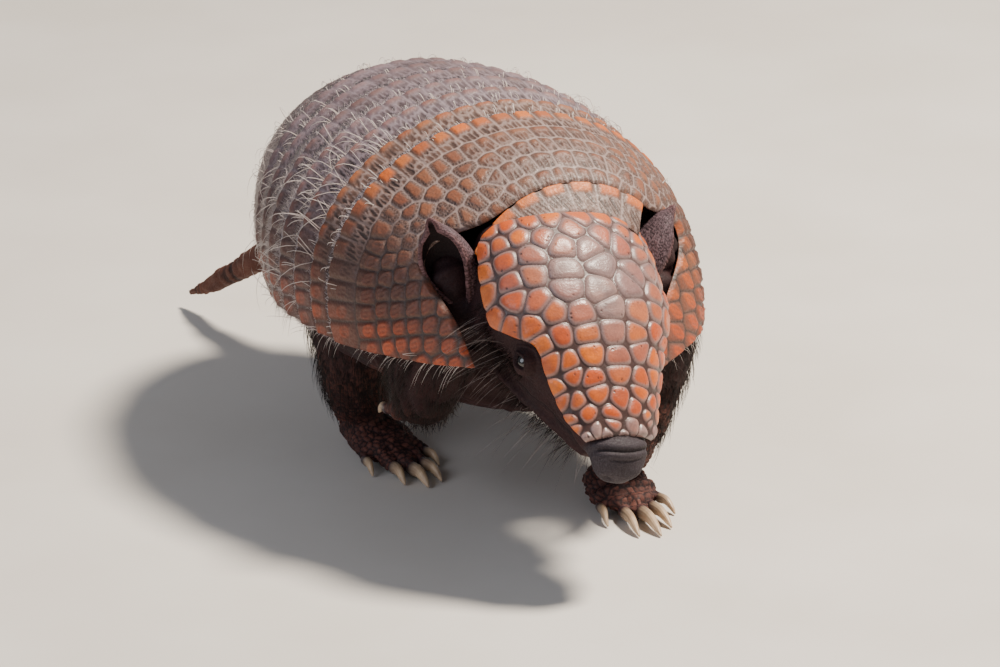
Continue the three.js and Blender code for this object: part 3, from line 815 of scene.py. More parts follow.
def foot_place(foot, mirror):
    """A function that carries foot points, forward along +y before the turn, to where the foot stands."""
    turn = Matrix.Rotation(math.radians(180 + foot["heading"]), 3, "Z") @ Matrix.Rotation(
        math.radians(-foot["pitch"]), 3, "X")
    turn, at = np.array(turn), np.array(foot["at"], float)

    def carry(x, y, z):
        return turn @ np.array((x * mirror, y, z)) + at

    return carry


def side_of(name):
    """-1 for a left foot, whose toes are laid out in a mirror, and 1 for a right one."""
    return -1 if name.endswith("left") else 1


def foot_bodies(foot, mirror):
    """The palm or sole and the five toes of a foot."""
    length, width, height, heel = (foot[k] for k in ("length", "width", "height", "heel"))
    carry = foot_place(foot, mirror)
    palm = ((0, -heel, height * 0.42, width * 0.55, height * 0.4),
            (0, -heel * 0.3, height * 0.5, width * 0.8, height * 0.56),
            (0, length * 0.22, height * 0.44, width, height * 0.5),
            (0, length * 0.52, height * 0.34, width * 0.92, height * 0.36))
    limbs = [(palm, 26)]
    for side, reach, thick, _ in TOES:
        r = TOE_RADIUS * thick
        limbs.append((((side * width * 0.6, length * 0.25 * reach, height * 0.4, r * 1.1, r * 1.1),
                       (side * width * 0.84, length * 0.62 * reach, height * 0.38, r * 1.05, r),
                       (side * width, length * reach, height * 0.26, r * 0.8, r * 0.85)), 14))
    made = []
    for stations, sides in limbs:
        placed = [(*carry(x, y, z), p, q) for x, y, z, p, q in stations]
        made.append(lofted(limb_rings(placed, np.linspace(0, 1, 14), sides, -0.2)))
    return made


def eye_centre(side):
    """Where an eye is, at side 1 for the left."""
    return head_point(EYE["u"], EYE["v"] * side, EYE["w"])


def flesh_bodies():
    """Every body of flesh, to be joined under one skin."""
    turn = np.linspace(0, 2 * math.pi, 56, endpoint=False)[None, :]

    def rows(low, high, n):
        return np.linspace(low, high, n)[:, None]

    bodies = [
        lofted(trunk_ring(rows(0.17, 0.98, 40), turn, SHELL + 1.2 + COAT_DEPTH)),
        lofted(neck_point(rows(0, 1, 18), turn, -COAT_DEPTH)),
        lofted(head_skin(HEAD, rows(-5.5, 110.5, 70), turn, -COAT_DEPTH)),
        lofted(head_skin(JAW, rows(38.5, 107.5, 40), turn, -COAT_DEPTH)),
        lofted(head_skin(CHEEKS, rows(30, 106, 40), turn, 0.0)),
        lofted(head_skin(NOSE, rows(105, 126, 18), turn, -0.1)),
        lofted(limb_rings(TAIL, np.linspace(0, 1, 50), 24, -0.2)),
    ]
    for side in (1, -1):
        bodies.append(ball(eye_centre(side), EYE["radius"] + 1.3))
        # The cheek fills the hollow between the neck, the jaw and the root of the ear.
        bodies.append(ball(head_point(34, 27 * side, -34), 15))
        # Loose skin behind the ear, inside the shoulder shield's edge.
        bodies.append(ball((50 * side, -80, 124), 12))
        bodies.append(ball((47 * side, -84, 108), 13))
    for name, leg in LEGS.items():
        bodies.append(lofted(limb_rings(leg["points"], np.linspace(0, 1, 30), 32, -COAT_DEPTH)))
        bodies += foot_bodies(leg["foot"], side_of(name))
    return bodies


def joined_flesh():
    """The bodies of flesh remeshed as one, with their creases eased."""
    rough = outward(mesh_object("rough flesh", *together(flesh_bodies())), islands=True)
    remesh = rough.modifiers.new("one body", "REMESH")
    remesh.mode, remesh.voxel_size = "VOXEL", VOXEL * MM
    ease = rough.modifiers.new("ease", "SMOOTH")
    ease.factor, ease.iterations = 0.5, 5
    mesh = as_modified(rough)
    bpy.data.objects.remove(rough)
    return mesh


def as_modified(piece):
    """A new mesh of an object with its modifiers carried out."""
    graph = bpy.context.evaluated_depsgraph_get()
    return bpy.data.meshes.new_from_object(piece.evaluated_get(graph))


def under_armour(points):
    """How far each point is hidden by the plates: 1 where no view reaches it."""
    deep = points[:, 2] > 90
    inside = (points[:, 1] > -62) & (points[:, 1] < 100)
    return (deep & inside).astype(float)


def finer(mesh, chosen, cuts=1):
    """Divides the faces whose middle a function picks, to carry finer relief."""
    work = bmesh.new()
    work.from_mesh(mesh)
    middles = np.array([f.calc_center_median() for f in work.faces]) / MM - FRAME_SHIFT
    work.faces.ensure_lookup_table()
    edges = {e for i in np.flatnonzero(chosen(middles)) for e in work.faces[i].edges}
    bmesh.ops.subdivide_edges(work, edges=list(edges), cuts=cuts, use_grid_fill=True)
    work.to_mesh(mesh)
    work.free()


def near_foot(points, name):
    """Which points belong to a foot."""
    foot = LEGS[name]["foot"]
    carry = foot_place(foot, side_of(name))
    middle = carry(0, foot["length"] * 0.35, foot["height"] * 0.3)
    return np.linalg.norm(points - middle, axis=1) < FOOT_REACH


def nearest_on_line(points, stations, n=60):
    """How far each point is from a limb's middle line, and how far along the line, from 0 to 1."""
    line = catmull(np.asarray(stations, float)[:, :3], np.linspace(0, 1, n))[0]
    gaps = np.stack([((points - p) ** 2).sum(1) for p in line])
    best = gaps.argmin(0)
    return np.sqrt(gaps.min(0)), best / (n - 1)


def skin_relief(points):
    """Height in millimetres along the normal, and marks, of the skin's folds, scales and creases: painted
    shade in their hollows and painted highlight on their raised tops.
    """
    u, v, w = head_place(points)
    head = (u > -8) & (u < 130) & (np.abs(v) < 50) & (w > -64) & (points[:, 1] < FACE_Y)
    height = 0.5 * waves(points, 5, 16) + 0.25 * waves(points, 6, 6)
    # dark is painted shade in grooves, creases, the mouth line and the nostrils; bright is painted highlight
    # on raised tops.
    dark, bright = np.zeros(len(points)), np.zeros(len(points))

    # Scales on the lower legs and feet, small on the toes.
    scaly = np.zeros(len(points))
    for name, leg in LEGS.items():
        gap, share = nearest_on_line(points, leg["points"])
        reach = smooth(30, 22, gap) * smooth(0.35, 0.7, share)
        scaly = np.maximum(scaly, np.maximum(reach, near_foot(points, name)))
    scaly *= ~head
    tail_gap, tail_share = nearest_on_line(points, TAIL)
    tail = smooth(22, 16, tail_gap) * (points[:, 1] > 118)
    cells, value = grain(points, np.array((3.2, 3.2, 2.4)), 1)
    small, _ = grain(points, 1.7, 2)
    scales = smooth(0.02, 0.35, cells)
    height += scaly * (0.5 * scales + 0.15 * smooth(0.0, 0.4, small) - 0.5)
    # Painted shade between the scales, and painted highlight on their tops, which varies from scale to scale.
    dark = np.maximum(dark, scaly * (1 - smooth(0.02, 0.2, cells)))
    bright = np.maximum(bright, scaly * scales * (0.4 + 0.6 * value))

    # Rings of scales round the tail.
    ring = np.abs(np.modf(tail_share * TAIL_LENGTH / TAIL_RING)[0] - 0.5) * 2
    height += tail * (0.55 * smooth(0.05, 0.5, 1 - ring) + 0.3 * smooth(0.05, 0.3, small) - 0.4)
    # Painted shade in the grooves between the rings.
    dark = np.maximum(dark, tail * smooth(0.75, 0.98, ring))

    # The nose pad: two arched creases above, nostrils in front, fine pebbles all over.
    nose = smooth(108.5, 112, u) * head
    pebbles, _ = grain(points, 0.9, 3)
    arch = 117.5 - 0.02 * v**2
    top = smooth(-19, -14, w)
    crease = bump(u, arch, 0.75) * top * smooth(14, 11, np.abs(v))
    second_crease = bump(u, arch + 3.6, 0.5) * top * smooth(9, 6, np.abs(v))
    swell = bump(u, arch - 2.4, 1.9) * top + 0.6 * bump(u, arch + 2.0, 1.2) * top
    nostril = bump(u, 123.5, 2.2) * bump(np.abs(v), 6.0, 2.4) * bump(w, -18, 2.0)
    height += nose * (0.7 * swell - 1.0 * crease - 0.5 * second_crease - 2.2 * nostril)
    height += nose * 0.08 * smooth(0, 0.4, pebbles)
    # Painted shade in the creases and nostrils, and painted highlight on the pebbles.
    dark = np.maximum(dark, nose * np.clip(crease * 0.7 + 0.4 * second_crease + nostril * 1.3, 0, 1))
    bright = np.maximum(bright, nose * 0.6 * smooth(0.1, 0.5, pebbles))

    # The mouth, a line along each side of the muzzle above the lower jaw.
    lip = along(JAW, 2, u) + 1.5
    mouth = head * smooth(58, 66, u) * smooth(112, 106, u) * bump(w, lip, 0.9) * (np.abs(v) > 4)
    height -= 1.3 * mouth
    # Painted shade along the mouth's crease.
    dark = np.maximum(dark, mouth)

    # Wrinkles round the eye and along the cheek.
    for side in (1, -1):
        gap = np.linalg.norm(points - eye_centre(side), axis=1)
        fold = 0.5 + 0.5 * np.cos(gap * 2 * math.pi / 2.6 + waves(points, 12, 8))
        height += head * 0.35 * fold * smooth(6.5, 8, gap) * smooth(17, 9, gap)

    # Folds 9 mm apart under the throat and the chest.
    throat = (~head) & (points[:, 1] < -40) & (points[:, 2] < 140)
    run = (points[:, 1] + 0.4 * points[:, 2]) * 2 * math.pi / 9
    height += throat * 0.9 * np.sin(run + waves(points, 8, 30) * 2)
    return height, np.stack((dark, bright, value), -1), np.stack((nose, np.maximum(scaly, 0), tail), -1)


def open_lids(points, near):
    """Sinks the skin inside an almond-shaped opening over each eye, so that the eye shows in it."""
    moved = points.copy()
    for side in (1, -1):
        centre = eye_centre(side)
        out = unit(head_point(EYE["u"] + 1, (EYE["v"] + 7) * side, EYE["w"] + 3) - centre)
        along_face = unit(head_point(EYE["u"] + 1, EYE["v"] * side, EYE["w"]) - centre)
        along_face = unit(along_face - out * (along_face @ out))
        across = np.cross(out, along_face)
        local = points - centre
        x, y, z = local @ along_face, local @ across, local @ out
        opening = (x / 3.8) ** 2 + (y / (2.4 * np.clip(1 - (x / 5.4) ** 2, 0.1, 1))) ** 2
        inside = (z > 0) & (np.linalg.norm(local, axis=1) < near)
        sunk = inside * smooth(1.25, 0.85, opening)
        target = centre + unit(local) * (EYE["radius"] - 1.2)
        moved += (target - moved) * sunk[:, None]
        lid = inside * bump(opening, 1.7, 0.5) * (z > 2)
        moved += unit(local) * (lid * 0.3)[:, None]
    return moved


def ear_rows(ear, t, v, depth):
    """Points of an ear: a funnel, open outward and forward, whose rim runs up to a point."""
    root = head_point(*ear["root"])
    axis = unit(np.array(ear["way"], float))
    facing = np.array(ear["open"], float)
    facing = unit(facing - axis * (facing @ axis))
    across = np.cross(axis, facing)
    swell = 0.42 + 0.58 * np.sin(np.pi * np.clip(t * 0.95 + 0.1, 0, 1)) ** 0.8
    r = ear["width"] * swell * (1 - 0.35 * np.maximum(t, 0) ** 3) * (1 - 0.45 * smooth(0.75, 1.0, t))
    r = r + EAR_WALL - depth
    a = v * np.radians(150 - 62 * np.maximum(t, 0))
    rise = ear["length"] * t * (1 - 0.18 * (v * t) ** 2)
    return (root + axis * rise[..., None] - facing * (r * np.cos(a) * 0.72)[..., None]
            + across * (r * np.sin(a))[..., None])


def make_ear(name, ear):
    """An ear's two faces: fine grains behind, coarser ones on the rim, and a smooth dark hollow; painted
    shade and painted highlight pick out the grains.
    """
    rows, columns = 73, 91
    t = np.linspace(-0.12, EAR_TIP, rows)[:, None] + np.zeros((1, columns))
    v = np.linspace(-1, 1, columns)[None, :] + np.zeros((rows, 1))
    flat = np.stack((v * EAR_ACROSS, t * EAR_ALONG), -1).reshape(-1, 2)
    fine, shade = grain(flat, np.array((1.25, 1.25)), 13)
    coarse, _ = grain(flat, np.array((2.2, 1.9)), 14)
    fine, shade, coarse = (x.reshape(t.shape) for x in (fine, shade, coarse))
    rim = np.maximum(smooth(0.75, 0.97, np.abs(v)), smooth(0.85, EAR_TIP, t))
    round_off = rim_drop(np.minimum((1 - np.abs(v)) * EAR_ACROSS, (EAR_TIP - t) * EAR_ALONG), 0.75)
    back = 0.4 * smooth(0.03, 0.4, fine) * (1 - rim) + 0.5 * smooth(0.03, 0.4, coarse) * rim
    outer = ear_rows(ear, t, v, 0.15 - back + round_off)
    folds = 0.5 * np.sin(v * 9 + 2 * t) * smooth(0.1, 0.4, t) * (1 - rim)
    depth = EAR_WALL - round_off + 0.15 + 0.35 * smooth(0.03, 0.4, coarse) * rim + folds * 0.5
    hollow = ear_rows(ear, t, v, depth)
    bumps = smooth(0.05, 0.35, np.where(rim > 0.5, coarse, fine))
    one, none = np.ones_like(t), np.zeros_like(t)
    inner_dark = (1 - rim) * smooth(0.0, 0.15, t + 0.1)

    def both_faces(*sides):
        return np.concatenate([np.stack(side, -1).reshape(-1, 3) for side in sides])

    points = np.concatenate((outer.reshape(-1, 3), hollow.reshape(-1, 3)))
    marks = {
        # Painted shade between the grains and painted highlight on them.
        "ReliefShading": both_faces(((1 - bumps) * 0.8, bumps * 0.8, shade), (none, bumps * rim * 0.6, shade)),
        "Zones": np.zeros((len(points), 3)),
        "Ears": both_faces((one, rim, none), (one, rim, inner_dark)),
    }
    under = rows * columns
    faces = grid_faces(rows, columns).tolist() + grid_faces(rows, columns, under, turned=True).tolist()
    loop = ([(0, c) for c in range(columns)] + [(r, columns - 1) for r in range(1, rows)]
            + [(rows - 1, c) for c in range(columns - 2, -1, -1)] + [(r, 0) for r in range(rows - 2, 0, -1)])
    loop = [r * columns + c for r, c in loop]
    faces += [[b, a, a + under, b + under] for a, b in zip(loop, loop[1:] + loop[:1])]
    return outward(mesh_object(name, points, faces, marks))


FLESH_NODES = ["head", "lower_jaw", "nose", "neck", "trunk", "tail", "ear_left", "ear_right"] + [
    f"{kind}_{name}" for kind in ("leg", "foot") for name in LEGS]


def make_skin(material):
    """One skin over the head, neck, trunk, legs, feet and tail, with the ears on it."""
    mesh = joined_flesh()
    skin = bpy.data.objects.new("skin", mesh)
    bpy.context.scene.collection.objects.link(skin)
    hidden = skin.vertex_groups.new(name="hidden")
    weights = under_armour(mesh_points(mesh))
    hidden.add(np.flatnonzero(weights > 0.5).tolist(), 1.0, "REPLACE")
    thin = skin.modifiers.new("thin out", "DECIMATE")
    thin.vertex_group, thin.ratio = "hidden", 1 - 0.92 * weights.mean()
    mesh = as_modified(skin)
    skin.modifiers.clear()
    skin.vertex_groups.clear()
    skin.data = mesh

    def face(points):
        u, _, w = head_place(points)
        shown = (points[:, 1] < FACE_Y) & (w < along(HEAD, 2, u) - 6)
        return ((u > 40) & shown) | (u > 108)

    def fine_face(points):
        u = head_place(points)[0]
        eyes = np.minimum(*(np.linalg.norm(points - eye_centre(side), axis=1) for side in (1, -1))) < 9
        return ((u > 109.5) & (points[:, 1] < -100)) | eyes

    finer(mesh, lambda p: face(p) | near_foot(p, "front_left") | near_foot(p, "hind_right"))
    finer(mesh, fine_face)
    points = mesh_points(mesh)
    normals = np.empty(len(mesh.vertices) * 3)
    mesh.vertices.foreach_get("normal", normals)
    height, relief, zones = skin_relief(points)
    points = points + normals.reshape(-1, 3) * height[:, None]
    points = open_lids(points, EYE["radius"] + 3.5)
    points[:, 2] = np.maximum(points[:, 2], 0.0)
    mesh.vertices.foreach_set("co", to_frame(points).ravel())
    # Painted shade in the hollows and painted highlight on the raised tops.
    add_marks(mesh, "ReliefShading", relief)
    add_marks(mesh, "Zones", zones)
    add_marks(mesh, "Ears", np.zeros((len(points), 3)))
    mesh.polygons.foreach_set("use_smooth", [True] * len(mesh.polygons))
    ears = [make_ear(f"ear {side}", ear) for side, ear in EARS.items()]
    with bpy.context.temp_override(active_object=skin, object=skin, selected_editable_objects=[skin, *ears]):
        bpy.ops.object.join()
    return dress(skin, material, FLESH_NODES)


# ---- coat ----
PATCH = 0.003  # each hair's patch on the OFBake map is this far across


def hair_mesh(name, material, hairs, steps):
    """Thin closed hairs, three-sided and tapering to a point, as one mesh.

    hairs holds arrays with a row for each hair: root, way (along the coat), rise (away from the body) and
    fall (the pull at the tip) as vectors, length, width, tone and place, the root's place on OFBake.
    """
    root, way, rise, fall = (hairs[k] for k in ("root", "way", "rise", "fall"))
    length, width = hairs["length"][:, None, None], hairs["width"][:, None, None]
    count = len(root)
    t = np.linspace(0, 1, steps + 1)[None, :, None]
    bend = way[:, None] * t + rise[:, None] * (t - 0.5 * t**2) + fall[:, None] * t**2
    line = root[:, None] + length * bend
    side = unit(np.cross(way, rise + 1e-6))[:, None]
    over = unit(np.cross(side, way[:, None]))
    ring = line[:, :-1] + 0 * side
    thick = width / 2 * (1 - t[:, :-1]) ** 0.6
    corners = [ring + thick * (math.cos(turn) * side + math.sin(turn) * over)
               for turn in (0.5, 0.5 + 2 * math.pi / 3, 0.5 + 4 * math.pi / 3)]
    body = np.stack(corners, axis=2).reshape(count, -1, 3)
    points = np.concatenate((body, line[:, -1:]), axis=1)
    size = 3 * steps + 1
    one = [[2, 1, 0]]
    for k in range(steps):
        for i in range(3):
            a, b = 3 * k + i, 3 * k + (i + 1) % 3
            one.append([a, b, size - 1] if k == steps - 1 else [a, b, b + 3, a + 3])
    starts = np.arange(count) * size
    faces = [(np.array(face)[None] + starts[:, None]).tolist() for face in one]
    share = np.append(np.repeat(np.arange(steps) / steps, 3), 1.0)
    round_it = np.append(np.tile((0.0, 0.5, 1.0), steps), 0.5)
    marks = np.stack((np.tile(share, count), np.repeat(hairs["tone"], size), np.zeros(count * size)), axis=-1)
    made = mesh_object(name, points.reshape(-1, 3), [f for group in faces for f in group], {"Hair": marks})
    spot = np.stack((round_it - 0.5, share - 0.5), axis=-1) * PATCH
    place = (np.clip(hairs["place"], 0.01, 0.99)[:, None] + spot[None]).reshape(-1, 2)
    corner = np.empty(len(made.data.loops), int)
    made.data.loops.foreach_get("vertex_index", corner)
    layer = made.data.uv_layers.new(name="OFBake")
    layer.data.foreach_set("uv", place[corner].ravel())
    return dress(made, material)


def hair_set(rng, root, way, rise, fall, length, width, place):
    """Hairs by the names that hair_mesh reads, each with a tone drawn last."""
    return {"root": root, "way": way, "rise": rise, "fall": fall, "length": length, "width": width,
            "tone": rng.uniform(size=len(root)), "place": place}


def gathered(*groups):
    """Several sets of hairs as one."""
    return {key: np.concatenate([group[key] for group in groups]) for key in groups[0]}


def on_back(rng, s, a, length, width, stand, droop=0.12, sunk=1.0, spread=0.25):
    """Hairs on the armour at shares s and angles a, lying back, with the stand given to each."""
    step = 0.004
    root = back_point(s, a, sunk)
    back = unit(back_point(s + step, a, sunk) - back_point(s - step, a, sunk))
    out = unit(back_point(s, a, 0.0) - back_point(s, a, 2.0))
    across = np.cross(back, out)
    sway = rng.normal(0, spread, len(s))[:, None]
    fall = np.array((0, 0, -1.0)) * droop - out * (0.3 * stand)[:, None]
    place = np.column_stack((0.5 + 0.47 * a / ARMOUR_HALF, 0.03 + 0.94 * np.clip(s, 0, 1)))
    return hair_set(rng, root, unit(back + across * sway), out * stand[:, None], fall, length, width, place)


def scattered(rng, count, span, half=ARMOUR_HALF):
    """Shares and angles spread evenly over the back between two shares."""
    s = rng.uniform(*span, 3 * count)
    a = rng.uniform(-half, half, 3 * count)
    keep = np.flatnonzero(rng.uniform(size=3 * count) < along(BACK, 4, s) / 95)[:count]
    return s[keep], a[keep]


def to_scute_rear(s, share, rng):
    """Moves shares on the bands towards their band's rear edge, where the hairs grow."""
    size = (PELVIC_START - SHOULDER_END) / BANDS
    on_band = (s > SHOULDER_END) & (s < PELVIC_START)
    row = np.floor((s - SHOULDER_END) / size)
    rear = SHOULDER_END + (row + rng.uniform(0.72, 0.98, len(s))) * size
    return np.where(on_band & (rng.uniform(size=len(s)) < share), rear, s)


def make_fuzz(settings, material):
    """The short coat of the rump, the bands and the rear of the shoulders, in pieces from front to back."""
    rng = np.random.default_rng(51)
    spans = ((0.1, 0.38), (0.38, 0.5), (0.5, 0.63), (0.63, 0.78), (0.78, 1.0))
    for number, span in enumerate(spans, 1):
        s, a = scattered(rng, settings.fuzz, span)
        # Thinner on the shoulders, and thinnest low on the flanks, where the scutes are bare.
        high = 1 - smooth(48, 78, np.degrees(np.abs(a)) - 22 * smooth(0.3, 0.6, s))
        far = smooth(0.14, 0.3, s + 0.05 * (a > 0.5))
        keep = rng.uniform(size=len(s)) < far * (0.35 + 0.65 * high)
        s, a = to_scute_rear(s[keep], 0.55, rng), a[keep]
        length = settings.fuzz_length * rng.uniform(0.45, 1.2, len(s)) * (0.55 + 0.45 * smooth(0.25, 0.6, s))
        wide = rng.uniform(0.26, 0.44, len(s)) * (1 + 0.8 * smooth(0.35, 0.65, s))
        hairs = on_back(rng, s, a, length, wide, rng.uniform(0.15, 0.8, len(s)), 0.1, spread=0.32)
        hair_mesh(f"coat_fuzz_{number}", material, hairs, 1)


def make_bristles(settings, material):
    """Long white bristles that spring from the rear edges of the scutes and curve back."""
    rng = np.random.default_rng(52)
    s, a = scattered(rng, settings.bristles, (0.12, 0.99))
    # They grow in loose patches.
    patch = smooth(-0.5, 0.5, waves(np.column_stack((s * BACK_LENGTH, a * BACK_RADIUS)), 15, 22))
    keep = rng.uniform(size=len(s)) < (0.12 + 0.88 * smooth(0.24, 0.32, s)) * (0.25 + 0.75 * patch)
    s, a = to_scute_rear(s[keep], 1.0, rng), a[keep]
    # They stand in twos, longest on the flanks and short on top and along the shoulder shield's end.
    rows = SHOULDER_END - 0.006 + (PELVIC_START - SHOULDER_END) / BANDS * np.arange(3)
    edge = np.linspace(-1, 1, 34) * math.radians(80)
    s = np.append(s, np.repeat(rows, len(edge)))
    a = np.append(a, np.tile(edge, len(rows)) + rng.normal(0, 0.015, len(edge) * len(rows)))
    s, a = np.repeat(s, 2), np.repeat(a, 2) + rng.normal(0, 0.012, 2 * len(a))
    long_here = smooth(25, 55, np.degrees(np.abs(a))) * smooth(SHOULDER_END, 0.36, s)
    longest = 6.5 + (settings.bristle_length - 6.5) * long_here
    length = longest * rng.uniform(0.45, 1.25, len(s)) ** 1.2
    stand = rng.uniform(0.25, 0.75, len(s)) + 1.5 * (1 - long_here)
    hairs = on_back(rng, s, a, length, rng.uniform(0.3, 0.5, len(s)), stand, 0.35, 1.2, 0.38)
    # The lower edge of the armour carries a fringe that hangs.
    s = rng.uniform(0.03, 0.97, settings.fringe)
    a = np.sign(rng.uniform(-1, 1, len(s))) * ARMOUR_HALF * rng.uniform(0.985, 1.0, len(s))
    fringe = on_back(rng, s, a, settings.fuzz_length * rng.uniform(0.5, 1.5, len(s)),
                     rng.uniform(0.24, 0.4, len(s)), rng.uniform(-0.1, 0.3, len(s)), 0.9, 2.4, 0.3)
    hair_mesh("coat_bristles", material, gathered(hairs, fringe), 5)


def in_place(place, across, down):
    """Shares across and down a stretch of the OFBake map, as places on it."""
    x0, x1, y0, y1 = place
    return np.column_stack((x0 + (x1 - x0) * across, y0 + (y1 - y0) * down))


def on_limb(rng, stations, count, span, length, place):
    """Hairs on a limb, lying down it, between two shares of its length."""
    share = rng.uniform(*span, count)
    turn = rng.uniform(0, 2 * math.pi, count)
    centre, way, across, deep, p, q = limb_frame(stations, share)
    out = across * np.cos(turn)[:, None] + deep * np.sin(turn)[:, None]
    root = centre + across * (p * np.cos(turn))[:, None] + deep * (q * np.sin(turn))[:, None] - out * 1.5
    stand = rng.uniform(0.15, 0.6, count)[:, None]
    sway = np.cross(way, out) * rng.normal(0, 0.25, count)[:, None]
    spot = in_place(place, turn / (2 * math.pi) % 1, share)
    return hair_set(rng, root, unit(way + sway), out * stand, -0.2 * out * stand,
                    length * rng.uniform(0.5, 1.3, count), rng.uniform(0.22, 0.38, count), spot)


FACE_PLACE = (0.02, 0.96, 0.52, 0.96)  # the OFBake map's stretch for the face


def on_face(rng, table, count, u_span, a_span, length, stand=0.8):
    """Bristles on the head or lower jaw, between angles from the top, pointing out and towards the muzzle."""
    u = rng.uniform(*u_span, count)
    a = rng.uniform(*(math.radians(x) for x in a_span), count)
    root, outer = head_skin(table, u, a, -1.2), head_skin(table, u, a, 3.0)
    out = unit(outer - root)
    ahead = unit(head_point(u + 1, 0.0, 0.0) - head_point(u, 0.0, 0.0))
    way = unit(out * stand + ahead * rng.uniform(0.1, 0.5, count)[:, None] + rng.normal(0, 0.2, (count, 3)))
    spot = in_place(FACE_PLACE, a / (2 * math.pi), u / NOSE[-1, 0])
    return hair_set(rng, root, way, out * 0.2, np.tile((0.0, 0.05, -0.25), (count, 1)),
                    length * rng.uniform(0.4, 1.2, count), rng.uniform(0.2, 0.34, count), spot)


def make_dark_hair(settings, material):
    """Black-brown hair on the legs, and bristles on the cheeks, the chin and the throat."""
    rng = np.random.default_rng(53)
    groups = []
    for k, (name, leg) in enumerate(LEGS.items()):
        place = (0.02 + 0.24 * k, 0.22 + 0.24 * k, 0.02, 0.48)
        span = (0.12, 0.8) if name.startswith("front") else (0.2, 0.86)
        groups.append(on_limb(rng, leg["points"], settings.leg_hair, span, settings.leg_length, place))
    groups.append(on_face(rng, JAW, settings.chin_hair, (40, 102), (110, 250), 11.0))
    for cheek in ((100, 135), (225, 260)):
        groups.append(on_face(rng, HEAD, settings.chin_hair // 2, (30, 66), cheek, 9.0))
    hair_mesh("coat_dark_hair", material, gathered(*groups), 3)


def make_whiskers(settings, material):
    """A few long stiff bristles, dark and pale, on the cheeks and under the chin."""
    rng = np.random.default_rng(54)
    fields = ((JAW, settings.whiskers, (42, 100), (100, 260)),
              (HEAD, settings.whiskers // 3, (34, 60), (98, 120)),
              (HEAD, settings.whiskers // 3, (34, 60), (240, 262)))
    groups = [on_face(rng, *field, 26.0, 1.2) for field in fields]
    hair_mesh("coat_whiskers", material, gathered(*groups), 5)


# ---- eyes and claws ----
def make_eyes(material):
    """Two dark eyes, each a ball behind its lids."""
    for side, name in ((1, "left"), (-1, "right")):
        piece = mesh_object(f"eye_ball_{name}", *ball(eye_centre(side), EYE["radius"] - 0.3, 48))
        dress(outward(piece), material, [f"eye_{name}"])


def make_claws(material):
    """Each foot's five claws: curved, blunt, a little flattened below."""
    for name, leg in LEGS.items():
        foot, mirror = leg["foot"], side_of(name)
        carry = foot_place(foot, mirror)
        bodies, grow = [], []
        for side, reach, thick, share in TOES:
            r, l = CLAW_RADIUS * thick, foot["claw"] * share
            x, y, z = side * foot["width"], foot["length"] * reach + CLAW_GAP, foot["height"]
            stations = ((x * 0.98, y - 3.2, z * 0.26, r * 0.66, r * 0.8),
                        (x, y, z * 0.27, r * 0.74, r * 0.88),
                        (x + side * l * 0.08, y + l * 0.4, z * 0.3, r * 0.62, r * 0.76),
                        (x + side * l * 0.16, y + l * 0.78, z * 0.17, r * 0.4, r * 0.48),
                        (x + side * l * 0.18, y + l, 1.1, 0.45, 0.55))
            placed = [(*carry(*s[:3]), s[3], s[4]) for s in stations]
            points, faces = lofted(limb_rings(placed, np.linspace(0, 1, 30), 20))
            points[:, 2] = np.maximum(points[:, 2], 0.0)
            bodies.append((points, faces))
            t = np.concatenate((np.repeat(np.linspace(0, 1, 30), 20), (0, 1)))
            turn = np.concatenate((np.tile(np.linspace(0, 1, 20, endpoint=False), 30), (0, 0)))
            grow.append(np.stack((t, turn, np.full(len(t), thick)), -1))
        piece = mesh_object(f"claws_{name}", *together(bodies), {"Grow": np.concatenate(grow)})
        dress(outward(piece, islands=True), material, [f"claw_{name}_{i + 1}" for i in range(5)])


# ---- materials ----
KERATIN_IOR = 1.54


def linear(hex_colour):
    """An sRGB hex colour as linear red, green, blue and alpha."""
    parts = (int(hex_colour[i : i + 2], 16) / 255 for i in (1, 3, 5))
    return tuple(c / 12.92 if c <= 0.04045 else ((c + 0.055) / 1.055) ** 2.4 for c in parts) + (1.0,)


def add(tree, kind, values=None, links=None, **settings):
    """Adds a node: its settings, its sockets' values, and links from other nodes' sockets."""
    made = tree.nodes.new(kind)
    for key, value in settings.items():
        setattr(made, key, value)
    for key, value in (values or {}).items():
        made.inputs[key].default_value = value
    for key, source in (links or {}).items():
        tree.links.new(source, made.inputs[key])
    return made


def new_material(name):
    """A material with an empty node tree: the tree, and its shader."""
    material = bpy.data.materials.new(name)
    material.use_nodes = True
    tree = material.node_tree
    tree.nodes.clear()
    shader = add(tree, "ShaderNodeBsdfPrincipled")
    add(tree, "ShaderNodeOutputMaterial", links={"Surface": shader.outputs[0]})
    return material, tree, shader


def marks_of(tree, key):
    """The three values of a colour attribute."""
    read = add(tree, "ShaderNodeAttribute", attribute_name=key)
    return add(tree, "ShaderNodeSeparateColor", links={"Color": read.outputs["Color"]}).outputs


def speckle(tree, size_mm, detail=3.0, low=0.35, high=0.65):
    """Even noise with marks about size_mm across, spread from 0 to 1."""
    place = add(tree, "ShaderNodeTexCoord")
    noise = add(tree, "ShaderNodeTexNoise", {"Scale": 1000 / (2 * size_mm), "Detail": detail},
                {"Vector": place.outputs["Object"]})
    spread = {"From Min": low, "From Max": high}
    return add(tree, "ShaderNodeMapRange", spread, {"Value": noise.outputs[0]}).outputs[0]


def times(tree, *factors):
    """The product of sockets and numbers."""
    result = factors[0]
    for factor in factors[1:]:
        is_number = isinstance(factor, (int, float))
        step = add(tree, "ShaderNodeMath", {1: factor} if is_number else None,
                   {0: result} if is_number else {0: result, 1: factor}, operation="MULTIPLY")
        result = step.outputs[0]
    return result


def painted(tree, base, coats):
    """Colours laid over a base in order, each as far as its mask says. A colour is hex or a socket."""
    result = base
    for colour, mask in coats:
        values, links = {}, {0: mask}
        for key, source in ((6, result), (7, colour)):
            if isinstance(source, str):
                values[key] = linear(source)
            else:
                links[key] = source
        result = add(tree, "ShaderNodeMix", values, links, data_type="RGBA").outputs[2]
    return result


